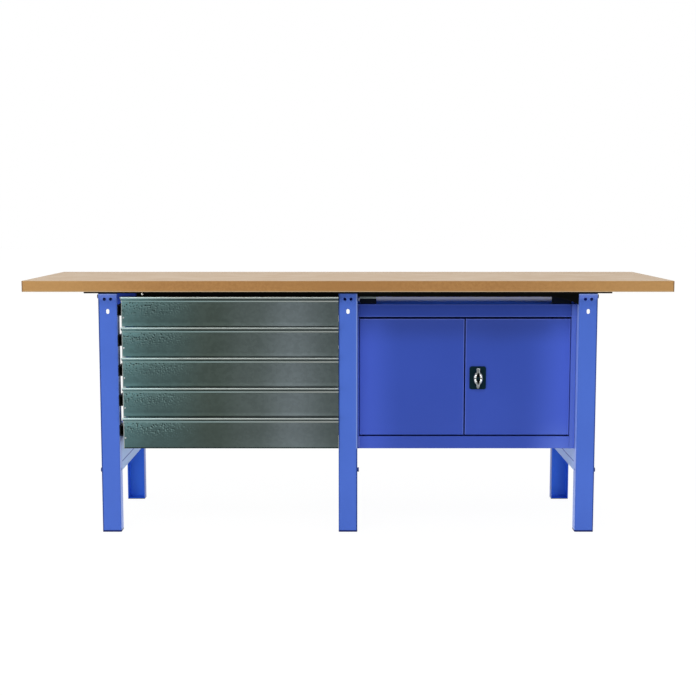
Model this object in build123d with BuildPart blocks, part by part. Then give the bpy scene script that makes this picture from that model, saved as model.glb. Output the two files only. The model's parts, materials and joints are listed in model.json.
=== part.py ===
from build123d import *
import math
import os

# Workbench with five drawers and a two-door cabinet.
# Millimetres. The bench stands on z = 0, its front faces -Y and its drawers are in the bay at -X.

# Worktop
bench_height = 835
top_length = 2100
top_depth = 600
top_thickness = 36
top_edge_radius = 2

# Bearer rails between the legs and the worktop
rail_height = 7
rail_depth = 40
rail_wall = 2
rail_bend = 3
rail_overhang = 46
top_screw_count = 6
top_screw_diameter = 5
top_screw_bite = 18
top_screw_head_diameter = 11
top_screw_head_height = 3
top_screw_end_margin = 60

# Legs
leg_pitch = 782
leg_width = 62
leg_depth = 40
leg_wall = 2
leg_bend = 4
leg_setback = 40
foot_thickness = 3
pair_hole_diameter = 10
pair_hole_spacing = 20
pair_hole_drop = 19
single_hole_width = 10.5
single_hole_height = 16
single_hole_drop = 59
rear_hole_width = 15
rear_hole_height = 22
rear_hole_drop = 100.5

# Crossbars, front to back between the flanges of the legs
crossbar_wall = 2
crossbar_bend = 3
crossbar_side_clearance = 0.2
crossbar_end_clearance = 0.5
top_crossbar_height = 46
lower_crossbar_height = 118
lower_crossbar_bottom = 193
lower_band_height = 36
lower_band_step = 3

# Front beams, one across each bay under the front rail, with a haunch at the outer leg
beam_wall = 2
beam_bend = 3
beam_height = 11.5
beam_flange = 24
beam_setback = 1
haunch_length = 95
haunch_drop = 36
haunch_foot = 4
beam_tab_depth = 33
inner_tab_height = 24

# Rear stringers, one across each bay behind the drawers and the cabinet
stringer_height = 50
stringer_depth = 14
stringer_wall = 2
stringer_bend = 3
stringer_bottom = 420
stringer_setback = 2

# Bolts that hold the frames together
bolt_diameter = 8
bolt_hole_clearance = 0.4
bolt_head_width = 13
bolt_head_height = 5
nut_height = 6.5
nut_clearance = 0.1
bolt_tip = 3
bolt_inset = 20
top_bolt_drop = 11
lower_bolt_rise = 13

# Drawers
drawer_count = 5
drawer_pitch = 99
first_lip_drop = 10.5
front_height = 98.2
last_front_extra = 6.5
front_sheet = 1.2
front_bend = 1.8
front_standoff = 1
front_return = 12
front_right_gap = 0.3
front_left_lap = 0.5
lip_rise = 20.2
lip_reach = 22
lip_step = 3.2
lip_step_height = 2.6
lip_band_lean = 1.3
lip_band_height = 4.6
lip_edge_height = 4.4
lip_hem = 6
backing_gap = 0.4
box_height = 66
box_rise = 6
box_depth = 490
box_sheet = 1
box_corner = 3

# Telescopic drawer slides: fixed rail, middle member and drawer runner
slide_length = 500
slide_height = 36
slide_thickness = 13
slide_wall = 1.2
slide_bend = 1.8
slide_play = 0.5
slide_drop = 44.6
slide_setback = 0.5
rail_lip_gap = 1.5
runner_reach = 8.5

# Cabinet
cabinet_front_setback = 30
cabinet_depth = 470
cabinet_height = 480
cabinet_drop = 37
cabinet_side_gap = 0.3
cabinet_sheet = 1.2
cabinet_bend = 2
left_stile_width = 5
right_stile_width = 18
stile_return = 12
rear_flange = 15
head_rail_height = 42.5
base_rail_height = 41
rail_return = 22
panel_clearance = 0.2

# Hangers that carry the front of the cabinet, and screws that hold its sides to the rear legs
left_hanger_width = 54
left_hanger_gap = 8
right_hanger_width = 64
right_hanger_gap = 19
hanger_foot = 30
hanger_wall = 2
hanger_bend = 3
cabinet_screw_diameter = 5
cabinet_screw_head_diameter = 10
cabinet_screw_head_height = 3
cabinet_screw_length = 14
cabinet_screw_margin = 75
cabinet_screw_inset = 10

# Shelf
shelf_rise = 190
shelf_lip = 20
shelf_front_gap = 45
shelf_back_gap = 5
shelf_side_gap = 0.5
clip_width = 20
clip_leg = 15
clip_sheet = 1.5
clip_inset = 70

# Doors
door_depth = 18
door_sheet = 1
door_corner = 2
door_return = 12
door_side_gap = 1.8
door_centre_gap = 4
door_head_gap = 6.3
door_foot_gap = 5
pivot_inset = 15
pivot_depth = 5.5
pin_diameter = 6
pin_clearance = 0.15
pin_reach = 7
pin_collar_diameter = 11
pin_collar_gap = 0.3

# Lock on the right door
lock_inset = 41
lock_rise = 236.5
lock_plate_width = 54
lock_plate_height = 76
lock_plate_thickness = 4
lock_plate_corner = 7
lock_plate_bevel = 1.2
handle_length = 68
handle_gap = 0.4
handle_boss_diameter = 24
handle_boss_height = 6
handle_body_width = 29
handle_body_length = 44
handle_neck_width = 9
handle_end_width = 12.5
handle_thickness = 10
handle_corner = 3
handle_edge = 2.5
handle_tip_width = 4.5
handle_tip_length = 8
handle_tip_thickness = 4
handle_groove_width = 2
handle_groove_depth = 2.5
well_width = 12
well_length = 40
well_depth = 5
spindle_diameter = 10
spindle_clearance = 0.3
barrel_diameter = 9
barrel_clearance = 0.2
barrel_setback = 1
barrel_depth = 8
keyway_width = 1.4
keyway_length = 6
keyway_depth = 3
cam_thickness = 3
cam_rim = 5
cam_back_inset = 6
rod_throw = 15
rod_width = 12
rod_thickness = 3
rod_play = 0.5
rod_head_width = 17.6
rod_head_height = 17
rod_end_gap = 3.5
cam_pin_diameter = 5
cam_pin_play = 0.7
guide_wall = 1.5
guide_height = 14
guide_end_gap = 40

# Places worked out from the sizes above
board_bottom = bench_height - top_thickness
leg_height = board_bottom - rail_height
front_face = -top_depth / 2 + leg_setback
rear_face = top_depth / 2 - leg_setback
leg_places = {"left": -leg_pitch, "middle": 0, "right": leg_pitch}
rail_length = 2 * leg_pitch + leg_width + 2 * rail_overhang
bay_width = leg_pitch - leg_width
drawer_bay_left = -leg_pitch + leg_width / 2
drawer_bay_right = -leg_width / 2
cabinet_bay_left = leg_width / 2
cabinet_bay_right = leg_pitch - leg_width / 2
bolt_hole_diameter = bolt_diameter + bolt_hole_clearance
front_bolt_y = front_face + bolt_inset
rear_bolt_y = rear_face - bolt_inset
top_bolt_z = leg_height - top_bolt_drop
lower_bolt_z = lower_crossbar_bottom + lower_bolt_rise

cabinet_left = cabinet_bay_left + cabinet_side_gap
cabinet_right = cabinet_bay_right - cabinet_side_gap
cabinet_middle = (cabinet_left + cabinet_right) / 2
cabinet_front = front_face + cabinet_front_setback
cabinet_back = cabinet_front + cabinet_depth
cabinet_top_z = leg_height - cabinet_drop
cabinet_bottom_z = cabinet_top_z - cabinet_height
head_rail_z = cabinet_top_z - head_rail_height
floor_z = cabinet_bottom_z + base_rail_height
door_top_z = head_rail_z - door_head_gap
door_bottom_z = floor_z + door_foot_gap
door_height = door_top_z - door_bottom_z
opening_left = cabinet_left + left_stile_width
opening_right = cabinet_right - right_stile_width
door_width = (opening_right - opening_left - 2 * door_side_gap - door_centre_gap) / 2
door_back = cabinet_front + door_depth
pivot_y = cabinet_front + pivot_depth
left_pivot_x = opening_left + door_side_gap + pivot_inset
right_pivot_x = opening_right - door_side_gap - pivot_inset
door_split = (opening_left + opening_right) / 2
shelf_z = floor_z + shelf_rise

lock_x = door_split + door_centre_gap / 2 + lock_inset
lock_z = cabinet_bottom_z + lock_rise
plate_front = cabinet_front - lock_plate_thickness
handle_back = plate_front - handle_gap
grip_back = handle_back - handle_boss_height
grip_front = grip_back - handle_thickness
cam_back = door_back - cam_back_inset
rod_front = cam_back + rod_play
rod_back = rod_front + rod_thickness
cam_pin_radius = rod_throw / math.sqrt(2)
cam_pin_side = cam_pin_radius / math.sqrt(2)
rod_offset = (cam_pin_side + cam_pin_radius) / 2
cam_slot_height = cam_pin_diameter + 2 * cam_pin_play
cam_slot_length = cam_pin_radius - cam_pin_side + cam_slot_height


def folded_section(points, wall, bend, side):
    """Section of a sheet folded along the points, with the thickness laid to one side of them."""
    with BuildSketch(mode=Mode.PRIVATE) as section:
        with BuildLine():
            FilletPolyline(*points, radius=bend)
            offset(amount=wall, side=side)
        make_face()
    return section.sketch


def save(builder, name):
    """Label a finished piece and write it to its own file."""
    builder.part.label = name
    export_step(builder.part, f"parts/{name}.step")


def across(x):
    """Upright plane across the bench at x, with Y to its right and Z up."""
    return Plane.YZ.offset(x)


def along(y):
    """Upright plane along the bench at y, with X to its right, Z up and its normal towards the front."""
    return Plane.XZ.offset(-y)


os.makedirs("parts", exist_ok=True)

# Worktop and the screws that hold it to the rails
screw_span = rail_length - 2 * top_screw_end_margin
screw_pitch = screw_span / (top_screw_count - 1)
rail_centres = (front_face + rail_depth / 2, rear_face - rail_depth / 2)
screw_points = [
    (-screw_span / 2 + index * screw_pitch, y) for y in rail_centres for index in range(top_screw_count)
]

with BuildPart() as worktop:
    with BuildSketch(Plane.XY.offset(board_bottom)):
        Rectangle(top_length, top_depth)
    extrude(amount=top_thickness)
    fillet(worktop.edges(), radius=top_edge_radius)
    with BuildSketch(Plane.XY.offset(board_bottom)):
        with Locations(*screw_points):
            Circle(top_screw_diameter / 2)
    extrude(amount=top_screw_bite, mode=Mode.SUBTRACT)
save(worktop, "worktop")

with BuildPart() as worktop_screws:
    with BuildSketch(Plane.XY.offset(board_bottom - rail_wall - top_screw_head_height)):
        with Locations(*screw_points):
            Circle(top_screw_head_diameter / 2)
    extrude(amount=top_screw_head_height)
    with BuildSketch(Plane.XY.offset(board_bottom - rail_wall)):
        with Locations(*screw_points):
            Circle(top_screw_diameter / 2)
    extrude(amount=rail_wall + top_screw_bite)
save(worktop_screws, "worktop_screws")

# Bearer rails: inverted channels that lie on the legs and crossbars
for name, centre in (("front_rail", rail_centres[0]), ("rear_rail", rail_centres[1])):
    with BuildPart() as bearer:
        with BuildSketch(Plane.YZ):
            outline = [
                (centre - rail_depth / 2, leg_height),
                (centre - rail_depth / 2, board_bottom),
                (centre + rail_depth / 2, board_bottom),
                (centre + rail_depth / 2, leg_height),
            ]
            add(folded_section(outline, rail_wall, rail_bend, Side.RIGHT))
        extrude(amount=rail_length / 2, both=True)
        with BuildSketch(Plane.XY.offset(board_bottom)):
            with Locations(*[point for point in screw_points if point[1] == centre]):
                Circle(top_screw_diameter / 2)
        extrude(amount=-rail_height, mode=Mode.SUBTRACT)
    save(bearer, name)

# Legs: open channels with a welded foot plate, the front and rear legs turned towards each other
cabinet_screw_y = cabinet_back - cabinet_screw_inset
cabinet_screw_heights = (floor_z + cabinet_screw_margin, cabinet_top_z - cabinet_screw_margin)

for place, x in leg_places.items():
    for end, face, inward, hole_width, hole_height, hole_drop in (
        ("front", front_face, 1, single_hole_width, single_hole_height, single_hole_drop),
        ("rear", rear_face, -1, rear_hole_width, rear_hole_height, rear_hole_drop),
    ):
        with BuildPart() as leg:
            with BuildSketch(Plane.XY):
                outline = [
                    (x - leg_width / 2, face + inward * leg_depth),
                    (x - leg_width / 2, face),
                    (x + leg_width / 2, face),
                    (x + leg_width / 2, face + inward * leg_depth),
                ]
                add(folded_section(outline, leg_wall, leg_bend, Side.LEFT if inward > 0 else Side.RIGHT))
            extrude(amount=leg_height)
            with BuildSketch(Plane.XY):
                with Locations((x, face + inward * (leg_wall + leg_depth) / 2)):
                    Rectangle(leg_width - 2 * leg_wall, leg_depth - leg_wall)
            extrude(amount=foot_thickness)
            with BuildSketch(along(face)):
                with Locations((x, leg_height - pair_hole_drop)):
                    with GridLocations(pair_hole_spacing, 0, 2, 1):
                        Circle(pair_hole_diameter / 2)
                with Locations((x, leg_height - hole_drop)):
                    SlotOverall(hole_height, hole_width, rotation=90)
            extrude(amount=-inward * leg_wall, mode=Mode.SUBTRACT)
            bolt_y = face + inward * bolt_inset
            with BuildSketch(across(x)):
                with Locations((bolt_y, top_bolt_z), (bolt_y, lower_bolt_z)):
                    Circle(bolt_hole_diameter / 2)
            extrude(amount=leg_width / 2, both=True, mode=Mode.SUBTRACT)
            if end == "rear" and place != "left":
                cabinet_side = 1 if place == "middle" else -1
                with BuildSketch(across(x + cabinet_side * leg_width / 2)):
                    with Locations(*[(cabinet_screw_y, z) for z in cabinet_screw_heights]):
                        Circle(cabinet_screw_diameter / 2)
                extrude(amount=-cabinet_side * leg_wall, mode=Mode.SUBTRACT)
        save(leg, f"{place}_{end}_leg")

# Crossbars: channels that slip between the flanges of a front and a rear leg; the lower ones turn their web
# to the bay, the top ones turn it outwards
crossbar_half = leg_width / 2 - leg_wall - crossbar_side_clearance
crossbar_front = front_face + leg_bend + crossbar_end_clearance
crossbar_rear = rear_face - leg_bend - crossbar_end_clearance
top_web_sides = {"left": -1, "middle": 1, "right": 1}
lower_web_sides = {"left": 1, "middle": 1, "right": -1}
lower_top = lower_crossbar_bottom + lower_crossbar_height
band_top = lower_crossbar_bottom + lower_band_height

for place, x in leg_places.items():
    for level, web_side, bolt_z in (
        ("top", top_web_sides[place], top_bolt_z),
        ("lower", lower_web_sides[place], lower_bolt_z),
    ):
        web = x + web_side * crossbar_half
        open_edge = x - web_side * crossbar_half
        band = web - web_side * lower_band_step
        if level == "top":
            outline = [
                (open_edge, leg_height),
                (web, leg_height),
                (web, leg_height - top_crossbar_height),
                (open_edge, leg_height - top_crossbar_height),
            ]
        else:
            outline = [
                (open_edge, lower_top),
                (web, lower_top),
                (web, band_top + lower_band_step),
                (band, band_top),
                (band, lower_crossbar_bottom),
                (open_edge, lower_crossbar_bottom),
            ]
        thickness_side = Side.RIGHT if web_side > 0 else Side.LEFT
        with BuildPart() as crossbar:
            with BuildSketch(along(crossbar_front)):
                add(folded_section(outline, crossbar_wall, crossbar_bend, thickness_side))
            extrude(amount=crossbar_front - crossbar_rear)
            with BuildSketch(across(x)):
                with Locations((front_bolt_y, bolt_z), (rear_bolt_y, bolt_z)):
                    Circle(bolt_hole_diameter / 2)
            extrude(amount=leg_width / 2, both=True, mode=Mode.SUBTRACT)
        save(crossbar, f"{place}_{level}_crossbar")

# Front beams: a web with a haunch at its outer end, a top flange under the rail and a bolted tab on each leg
beam_front = front_face + beam_setback
beam_back = beam_front + beam_wall
beam_bottom = leg_height - beam_height
haunch_bottom = leg_height - haunch_drop

for name, outer, inner, inward in (
    ("left_front_beam", drawer_bay_left, drawer_bay_right, 1),
    ("right_front_beam", cabinet_bay_right, cabinet_bay_left, -1),
):
    haunch_start = (outer + inward * haunch_length, beam_bottom)
    haunch_end = (outer + inward * haunch_foot, haunch_bottom)
    with BuildPart() as beam:
        with BuildSketch(along(beam_front)):
            with BuildLine():
                Polyline(
                    haunch_end,
                    (outer, haunch_bottom),
                    (outer, leg_height),
                    (inner, leg_height),
                    (inner, beam_bottom),
                    haunch_start,
                )
                TangentArc(haunch_start, haunch_end, tangent=(-inward, 0))
            make_face()
        extrude(amount=-beam_wall)
        with BuildSketch(across(outer)):
            with Locations((beam_front, leg_height)):
                Rectangle(beam_flange, beam_wall, align=(Align.MIN, Align.MAX))
        extrude(amount=inner - outer)
        with BuildSketch(across(outer)):
            with Locations((beam_front, leg_height)):
                Rectangle(beam_tab_depth, haunch_drop, align=(Align.MIN, Align.MAX))
        extrude(amount=inward * beam_wall)
        with BuildSketch(across(inner)):
            with Locations((beam_front, leg_height)):
                Rectangle(beam_tab_depth, inner_tab_height, align=(Align.MIN, Align.MAX))
        extrude(amount=-inward * beam_wall)
        with BuildSketch(across(outer)):
            with Locations((front_bolt_y, top_bolt_z)):
                Circle(bolt_hole_diameter / 2)
        extrude(amount=inner - outer, mode=Mode.SUBTRACT)
        front_corners = beam.edges().filter_by(Axis.Z).group_by(Axis.Y)[0]
        fillet(front_corners.sort_by_distance((outer, beam_front, leg_height))[0], radius=beam_bend)
    save(beam, name)

# Rear stringers: channels across each bay, set between the rear legs
stringer_back = rear_face - stringer_setback
with BuildPart() as rear_stringers:
    for left in (drawer_bay_left, cabinet_bay_left):
        with BuildSketch(across(left)):
            outline = [
                (stringer_back - stringer_depth, stringer_bottom + stringer_height),
                (stringer_back, stringer_bottom + stringer_height),
                (stringer_back, stringer_bottom),
                (stringer_back - stringer_depth, stringer_bottom),
            ]
            add(folded_section(outline, stringer_wall, stringer_bend, Side.RIGHT))
        extrude(amount=bay_width)
save(rear_stringers, "rear_stringers")

# Frame bolts: heads on the outer sides, and on the right side of the middle frame. The top bolts have a nut on
# the other side of the leg, the lower ones end in a nut inside the crossbar.
head_sides = {"left": -1, "middle": 1, "right": 1}
nut_web = crossbar_half - lower_band_step - crossbar_wall
with BuildPart() as frame_bolts:
    for place, x in leg_places.items():
        head_side = head_sides[place]
        same_side = lower_web_sides[place] == head_side
        for y, z in (
            (front_bolt_y, top_bolt_z),
            (front_bolt_y, lower_bolt_z),
            (rear_bolt_y, top_bolt_z),
            (rear_bolt_y, lower_bolt_z),
        ):
            at_beam = y == front_bolt_y and z == top_bolt_z
            head_pack = beam_wall if at_beam and place == "middle" else 0
            nut_pack = beam_wall if at_beam else 0
            head_seat = Plane(
                (x + head_side * (leg_width / 2 + head_pack), y, z), x_dir=(0, 1, 0), z_dir=(head_side, 0, 0)
            )
            if z == top_bolt_z:
                grip = leg_width + head_pack + nut_pack
            elif same_side:
                grip = leg_width / 2 - nut_web
            else:
                grip = leg_width / 2 + nut_web - nut_height
            with BuildSketch(head_seat):
                RegularPolygon(bolt_head_width / 2, 6, major_radius=False)
            extrude(amount=bolt_head_height)
            with BuildSketch(head_seat):
                Circle(bolt_diameter / 2)
            extrude(amount=-(grip + nut_height + bolt_tip))
            with BuildSketch(head_seat.offset(-grip)):
                RegularPolygon(bolt_head_width / 2, 6, major_radius=False)
                Circle((bolt_diameter + nut_clearance) / 2, mode=Mode.SUBTRACT)
            extrude(amount=-nut_height)
save(frame_bolts, "frame_bolts")

# Telescopic slides, one pair for each drawer
slide_front = front_face + slide_setback
rail_half = slide_height / 2
middle_half = rail_half - slide_wall - slide_play
runner_half = middle_half - slide_wall - slide_play
middle_start = slide_wall + slide_play
member_far = slide_thickness - rail_lip_gap
slide_sides = ((drawer_bay_left, 1, Side.LEFT), (drawer_bay_right, -1, Side.RIGHT))
lip_heights = [leg_height - first_lip_drop - index * drawer_pitch for index in range(drawer_count)]


def slide_member(wall_x, into_bay, thickness_side, near, far, half, z):
    """Section of one channel of a slide; near is its web's distance from the leg, far its open edge's."""
    outline = [
        (wall_x + into_bay * far, z + half),
        (wall_x + into_bay * near, z + half),
        (wall_x + into_bay * near, z - half),
        (wall_x + into_bay * far, z - half),
    ]
    return folded_section(outline, slide_wall, slide_bend, thickness_side)


with BuildPart() as slide_rails:
    for lip_z in lip_heights:
        for wall_x, into_bay, thickness_side in slide_sides:
            with BuildSketch(along(slide_front)):
                slide_z = lip_z - slide_drop
                add(slide_member(wall_x, into_bay, thickness_side, 0, member_far, rail_half, slide_z))
            extrude(amount=-slide_length)
save(slide_rails, "slide_rails")

# Drawers, counted from the top
panel_back = front_face - front_standoff
panel_face = panel_back - front_sheet
panel_left = drawer_bay_left + slide_thickness + front_left_lap
panel_right = drawer_bay_right - front_right_gap
box_width = bay_width - 2 * slide_thickness
box_middle = (drawer_bay_left + drawer_bay_right) / 2
lip_front = panel_face - lip_reach
# Welded strip that closes the drawer behind the pull lip, above the rim of the box
backing_height = front_height - box_rise - box_height - 2 * backing_gap

for number, lip_z in enumerate(lip_heights, start=1):
    front_bottom = lip_z - front_height - (last_front_extra if number == drawer_count else 0)
    slide_z = lip_z - slide_drop
    box_bottom = lip_z - front_height + box_rise
    step_z = lip_z - lip_rise + lip_step_height

    with BuildPart() as drawer_front:
        with BuildSketch(across(panel_left)):
            outline = [
                (panel_face + front_return, front_bottom),
                (panel_face, front_bottom),
                (panel_face, lip_z - lip_rise),
                (panel_face - lip_step, step_z),
                (panel_face - lip_step - lip_band_lean, step_z + lip_band_height),
                (lip_front, lip_z - lip_edge_height),
                (lip_front, lip_z),
                (lip_front + lip_hem, lip_z),
            ]
            add(folded_section(outline, front_sheet, front_bend, Side.RIGHT))
        extrude(amount=panel_right - panel_left)
        with BuildSketch(across(panel_left)):
            with Locations((panel_back, lip_z - backing_gap)):
                Rectangle(box_sheet, backing_height, align=(Align.MIN, Align.MAX))
        extrude(amount=panel_right - panel_left)
    save(drawer_front, f"drawer_{number}_front")

    with BuildPart() as drawer_box:
        with BuildSketch(Plane.XY.offset(box_bottom)):
            with Locations((box_middle, panel_back)):
                Rectangle(box_width, box_depth, align=(Align.CENTER, Align.MIN))
        extrude(amount=box_height)
        fillet(drawer_box.edges().filter_by(Axis.Z), radius=box_corner)
        rim = drawer_box.faces().sort_by(Axis.Z)[-1]
        offset(amount=-box_sheet, openings=rim)
    save(drawer_box, f"drawer_{number}_box")

    with BuildPart() as runners:
        for wall_x, into_bay, thickness_side in slide_sides:
            box_side = wall_x + into_bay * slide_thickness
            facing_side = Side.RIGHT if thickness_side == Side.LEFT else Side.LEFT
            with BuildSketch(along(slide_front)):
                add(slide_member(box_side, -into_bay, facing_side, 0, runner_reach, runner_half, slide_z))
            extrude(amount=-slide_length)
    save(runners, f"drawer_{number}_runners")

    with BuildPart() as middles:
        for wall_x, into_bay, thickness_side in slide_sides:
            with BuildSketch(along(slide_front)):
                add(
                    slide_member(
                        wall_x, into_bay, thickness_side, middle_start, member_far, middle_half, slide_z
                    )
                )
            extrude(amount=-slide_length)
    save(middles, f"drawer_{number}_slide_middles")

# Cabinet sides: folded stile at the front and flange at the back
side_top_z = cabinet_top_z - cabinet_sheet
for name, outer, inward, stile_width in (
    ("cabinet_left_side", cabinet_left, 1, left_stile_width),
    ("cabinet_right_side", cabinet_right, -1, right_stile_width),
):
    with BuildPart() as cabinet_side:
        with BuildSketch(Plane.XY.offset(cabinet_bottom_z)):
            outline = [
                (outer + inward * stile_width, cabinet_front + stile_return),
                (outer + inward * stile_width, cabinet_front),
                (outer, cabinet_front),
                (outer, cabinet_back),
                (outer + inward * rear_flange, cabinet_back),
            ]
            thickness_side = Side.RIGHT if inward > 0 else Side.LEFT
            add(folded_section(outline, cabinet_sheet, cabinet_bend, thickness_side))
        extrude(amount=side_top_z - cabinet_bottom_z)
        with BuildSketch(across(outer)):
            with Locations(*[(cabinet_screw_y, z) for z in cabinet_screw_heights]):
                Circle(cabinet_screw_diameter / 2)
        extrude(amount=inward * cabinet_sheet, mode=Mode.SUBTRACT)
    save(cabinet_side, name)

with BuildPart() as cabinet_screws:
    for web_x, inward in ((cabinet_left, 1), (cabinet_right, -1)):
        for z in cabinet_screw_heights:
            head_seat = Plane(
                (web_x + inward * cabinet_sheet, cabinet_screw_y, z), x_dir=(0, 1, 0), z_dir=(inward, 0, 0)
            )
            with BuildSketch(head_seat):
                Circle(cabinet_screw_head_diameter / 2)
            extrude(amount=cabinet_screw_head_height)
            with BuildSketch(head_seat):
                Circle(cabinet_screw_diameter / 2)
            extrude(amount=-cabinet_screw_length)
save(cabinet_screws, "cabinet_screws")

# Cabinet top with its folded head rail, and floor with its folded base rail, between the stiles
rail_left = opening_left + panel_clearance
rail_right = opening_right - panel_clearance
upper_rod_x = lock_x + rod_offset
lower_rod_x = lock_x - rod_offset
rod_middle_y = (rod_front + rod_back) / 2
rod_slot_width = rod_width + 2 * rod_play
rod_slot_depth = rod_thickness + 2 * rod_play
pivot_points = ((left_pivot_x, pivot_y), (right_pivot_x, pivot_y))

with BuildPart() as cabinet_top:
    with BuildSketch(across(rail_left)):
        outline = [
            (cabinet_front + rail_return, head_rail_z),
            (cabinet_front, head_rail_z),
            (cabinet_front, cabinet_top_z),
            (cabinet_front + rail_return, cabinet_top_z),
        ]
        add(folded_section(outline, cabinet_sheet, cabinet_bend, Side.RIGHT))
    extrude(amount=rail_right - rail_left)
    with BuildSketch(Plane.XY.offset(side_top_z)):
        with Locations((cabinet_middle, cabinet_front + cabinet_bend)):
            Rectangle(
                cabinet_right - cabinet_left, cabinet_depth - cabinet_bend, align=(Align.CENTER, Align.MIN)
            )
    extrude(amount=cabinet_sheet)
    with BuildSketch(Plane.XY.offset(head_rail_z)):
        with Locations(*pivot_points):
            Circle(pin_diameter / 2)
        with Locations((upper_rod_x, rod_middle_y)):
            Rectangle(rod_slot_width, rod_slot_depth)
    extrude(amount=cabinet_sheet, mode=Mode.SUBTRACT)
save(cabinet_top, "cabinet_top")

with BuildPart() as cabinet_floor:
    with BuildSketch(across(rail_left)):
        outline = [
            (cabinet_front + rail_return, cabinet_bottom_z),
            (cabinet_front, cabinet_bottom_z),
            (cabinet_front, floor_z),
            (cabinet_front + rail_return, floor_z),
        ]
        add(folded_section(outline, cabinet_sheet, cabinet_bend, Side.RIGHT))
    extrude(amount=rail_right - rail_left)
    floor_front = cabinet_front + stile_return + panel_clearance
    floor_back = cabinet_back - cabinet_sheet - panel_clearance
    floor_width = cabinet_right - cabinet_left - 2 * (cabinet_sheet + panel_clearance)
    with BuildSketch(Plane.XY.offset(floor_z)):
        with Locations((cabinet_middle, floor_front)):
            Rectangle(floor_width, floor_back - floor_front, align=(Align.CENTER, Align.MIN))
    extrude(amount=-cabinet_sheet)
    with BuildSketch(Plane.XY.offset(floor_z)):
        with Locations(*pivot_points):
            Circle(pin_diameter / 2)
        with Locations((lower_rod_x, rod_middle_y)):
            Rectangle(rod_slot_width, rod_slot_depth)
    extrude(amount=-cabinet_sheet, mode=Mode.SUBTRACT)
save(cabinet_floor, "cabinet_floor")

with BuildPart() as cabinet_back_panel:
    with BuildSketch(along(cabinet_back)):
        with Locations((cabinet_middle, cabinet_bottom_z)):
            Rectangle(cabinet_right - cabinet_left, cabinet_height, align=(Align.CENTER, Align.MIN))
    extrude(amount=-cabinet_sheet)
save(cabinet_back_panel, "cabinet_back")

# Hangers: bent straps from the cabinet top up to the flange of the right front beam
hanger_web = cabinet_front + cabinet_bend
hanger_top = leg_height - beam_wall
with BuildPart() as cabinet_hangers:
    for left, width in (
        (cabinet_bay_left + left_hanger_gap, left_hanger_width),
        (cabinet_bay_right - right_hanger_gap - right_hanger_width, right_hanger_width),
    ):
        with BuildSketch(across(left)):
            outline = [
                (beam_back + panel_clearance, hanger_top),
                (hanger_web + hanger_wall, hanger_top),
                (hanger_web + hanger_wall, cabinet_top_z + hanger_wall),
                (hanger_web + hanger_foot, cabinet_top_z + hanger_wall),
            ]
            add(folded_section(outline, hanger_wall, hanger_bend, Side.RIGHT))
        extrude(amount=width)
save(cabinet_hangers, "cabinet_hangers")

# Shelf with folded lips, on four clips
shelf_left = cabinet_left + cabinet_sheet + shelf_side_gap
shelf_right = cabinet_right - cabinet_sheet - shelf_side_gap
shelf_front = cabinet_front + shelf_front_gap
shelf_back = cabinet_back - shelf_back_gap
with BuildPart() as cabinet_shelf:
    with BuildSketch(across(shelf_left)):
        outline = [
            (shelf_front, shelf_z - shelf_lip),
            (shelf_front, shelf_z),
            (shelf_back, shelf_z),
            (shelf_back, shelf_z - shelf_lip),
        ]
        add(folded_section(outline, cabinet_sheet, cabinet_bend, Side.RIGHT))
    extrude(amount=shelf_right - shelf_left)
save(cabinet_shelf, "cabinet_shelf")

with BuildPart() as shelf_clips:
    for web_x, inward in ((cabinet_left + cabinet_sheet, 1), (cabinet_right - cabinet_sheet, -1)):
        for clip_y in (shelf_front + clip_inset, shelf_back - clip_inset):
            with BuildSketch(along(clip_y - clip_width / 2)):
                outline = [
                    (web_x, shelf_z - cabinet_sheet - clip_leg),
                    (web_x, shelf_z - cabinet_sheet),
                    (web_x + inward * clip_leg, shelf_z - cabinet_sheet),
                ]
                thickness_side = Side.RIGHT if inward > 0 else Side.LEFT
                add(folded_section(outline, clip_sheet, cabinet_bend, thickness_side))
            extrude(amount=-clip_width)
save(shelf_clips, "shelf_clips")

# Door pivot pins: stubs in the head rail and in the floor, with a collar that carries each door
with BuildPart() as door_pivot_pins:
    with BuildSketch(Plane.XY.offset(door_top_z - pin_reach)):
        with Locations(*pivot_points):
            Circle(pin_diameter / 2)
    extrude(amount=door_head_gap + 2 * pin_reach)
    with BuildSketch(Plane.XY.offset(floor_z - pin_reach)):
        with Locations(*pivot_points):
            Circle(pin_diameter / 2)
    extrude(amount=door_foot_gap + 2 * pin_reach)
    with BuildSketch(Plane.XY.offset(floor_z)):
        with Locations(*pivot_points):
            Circle(pin_collar_diameter / 2)
    extrude(amount=door_foot_gap - pin_collar_gap)
save(door_pivot_pins, "door_pivot_pins")

# Doors: folded pans, open at the back
left_door_left = opening_left + door_side_gap
right_door_left = door_split + door_centre_gap / 2
guide_inner = rod_width + 2 * rod_play
guide_outer = guide_inner + 2 * guide_wall
guide_back = rod_back + rod_play + guide_wall
guide_seat = cabinet_front + door_sheet

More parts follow.
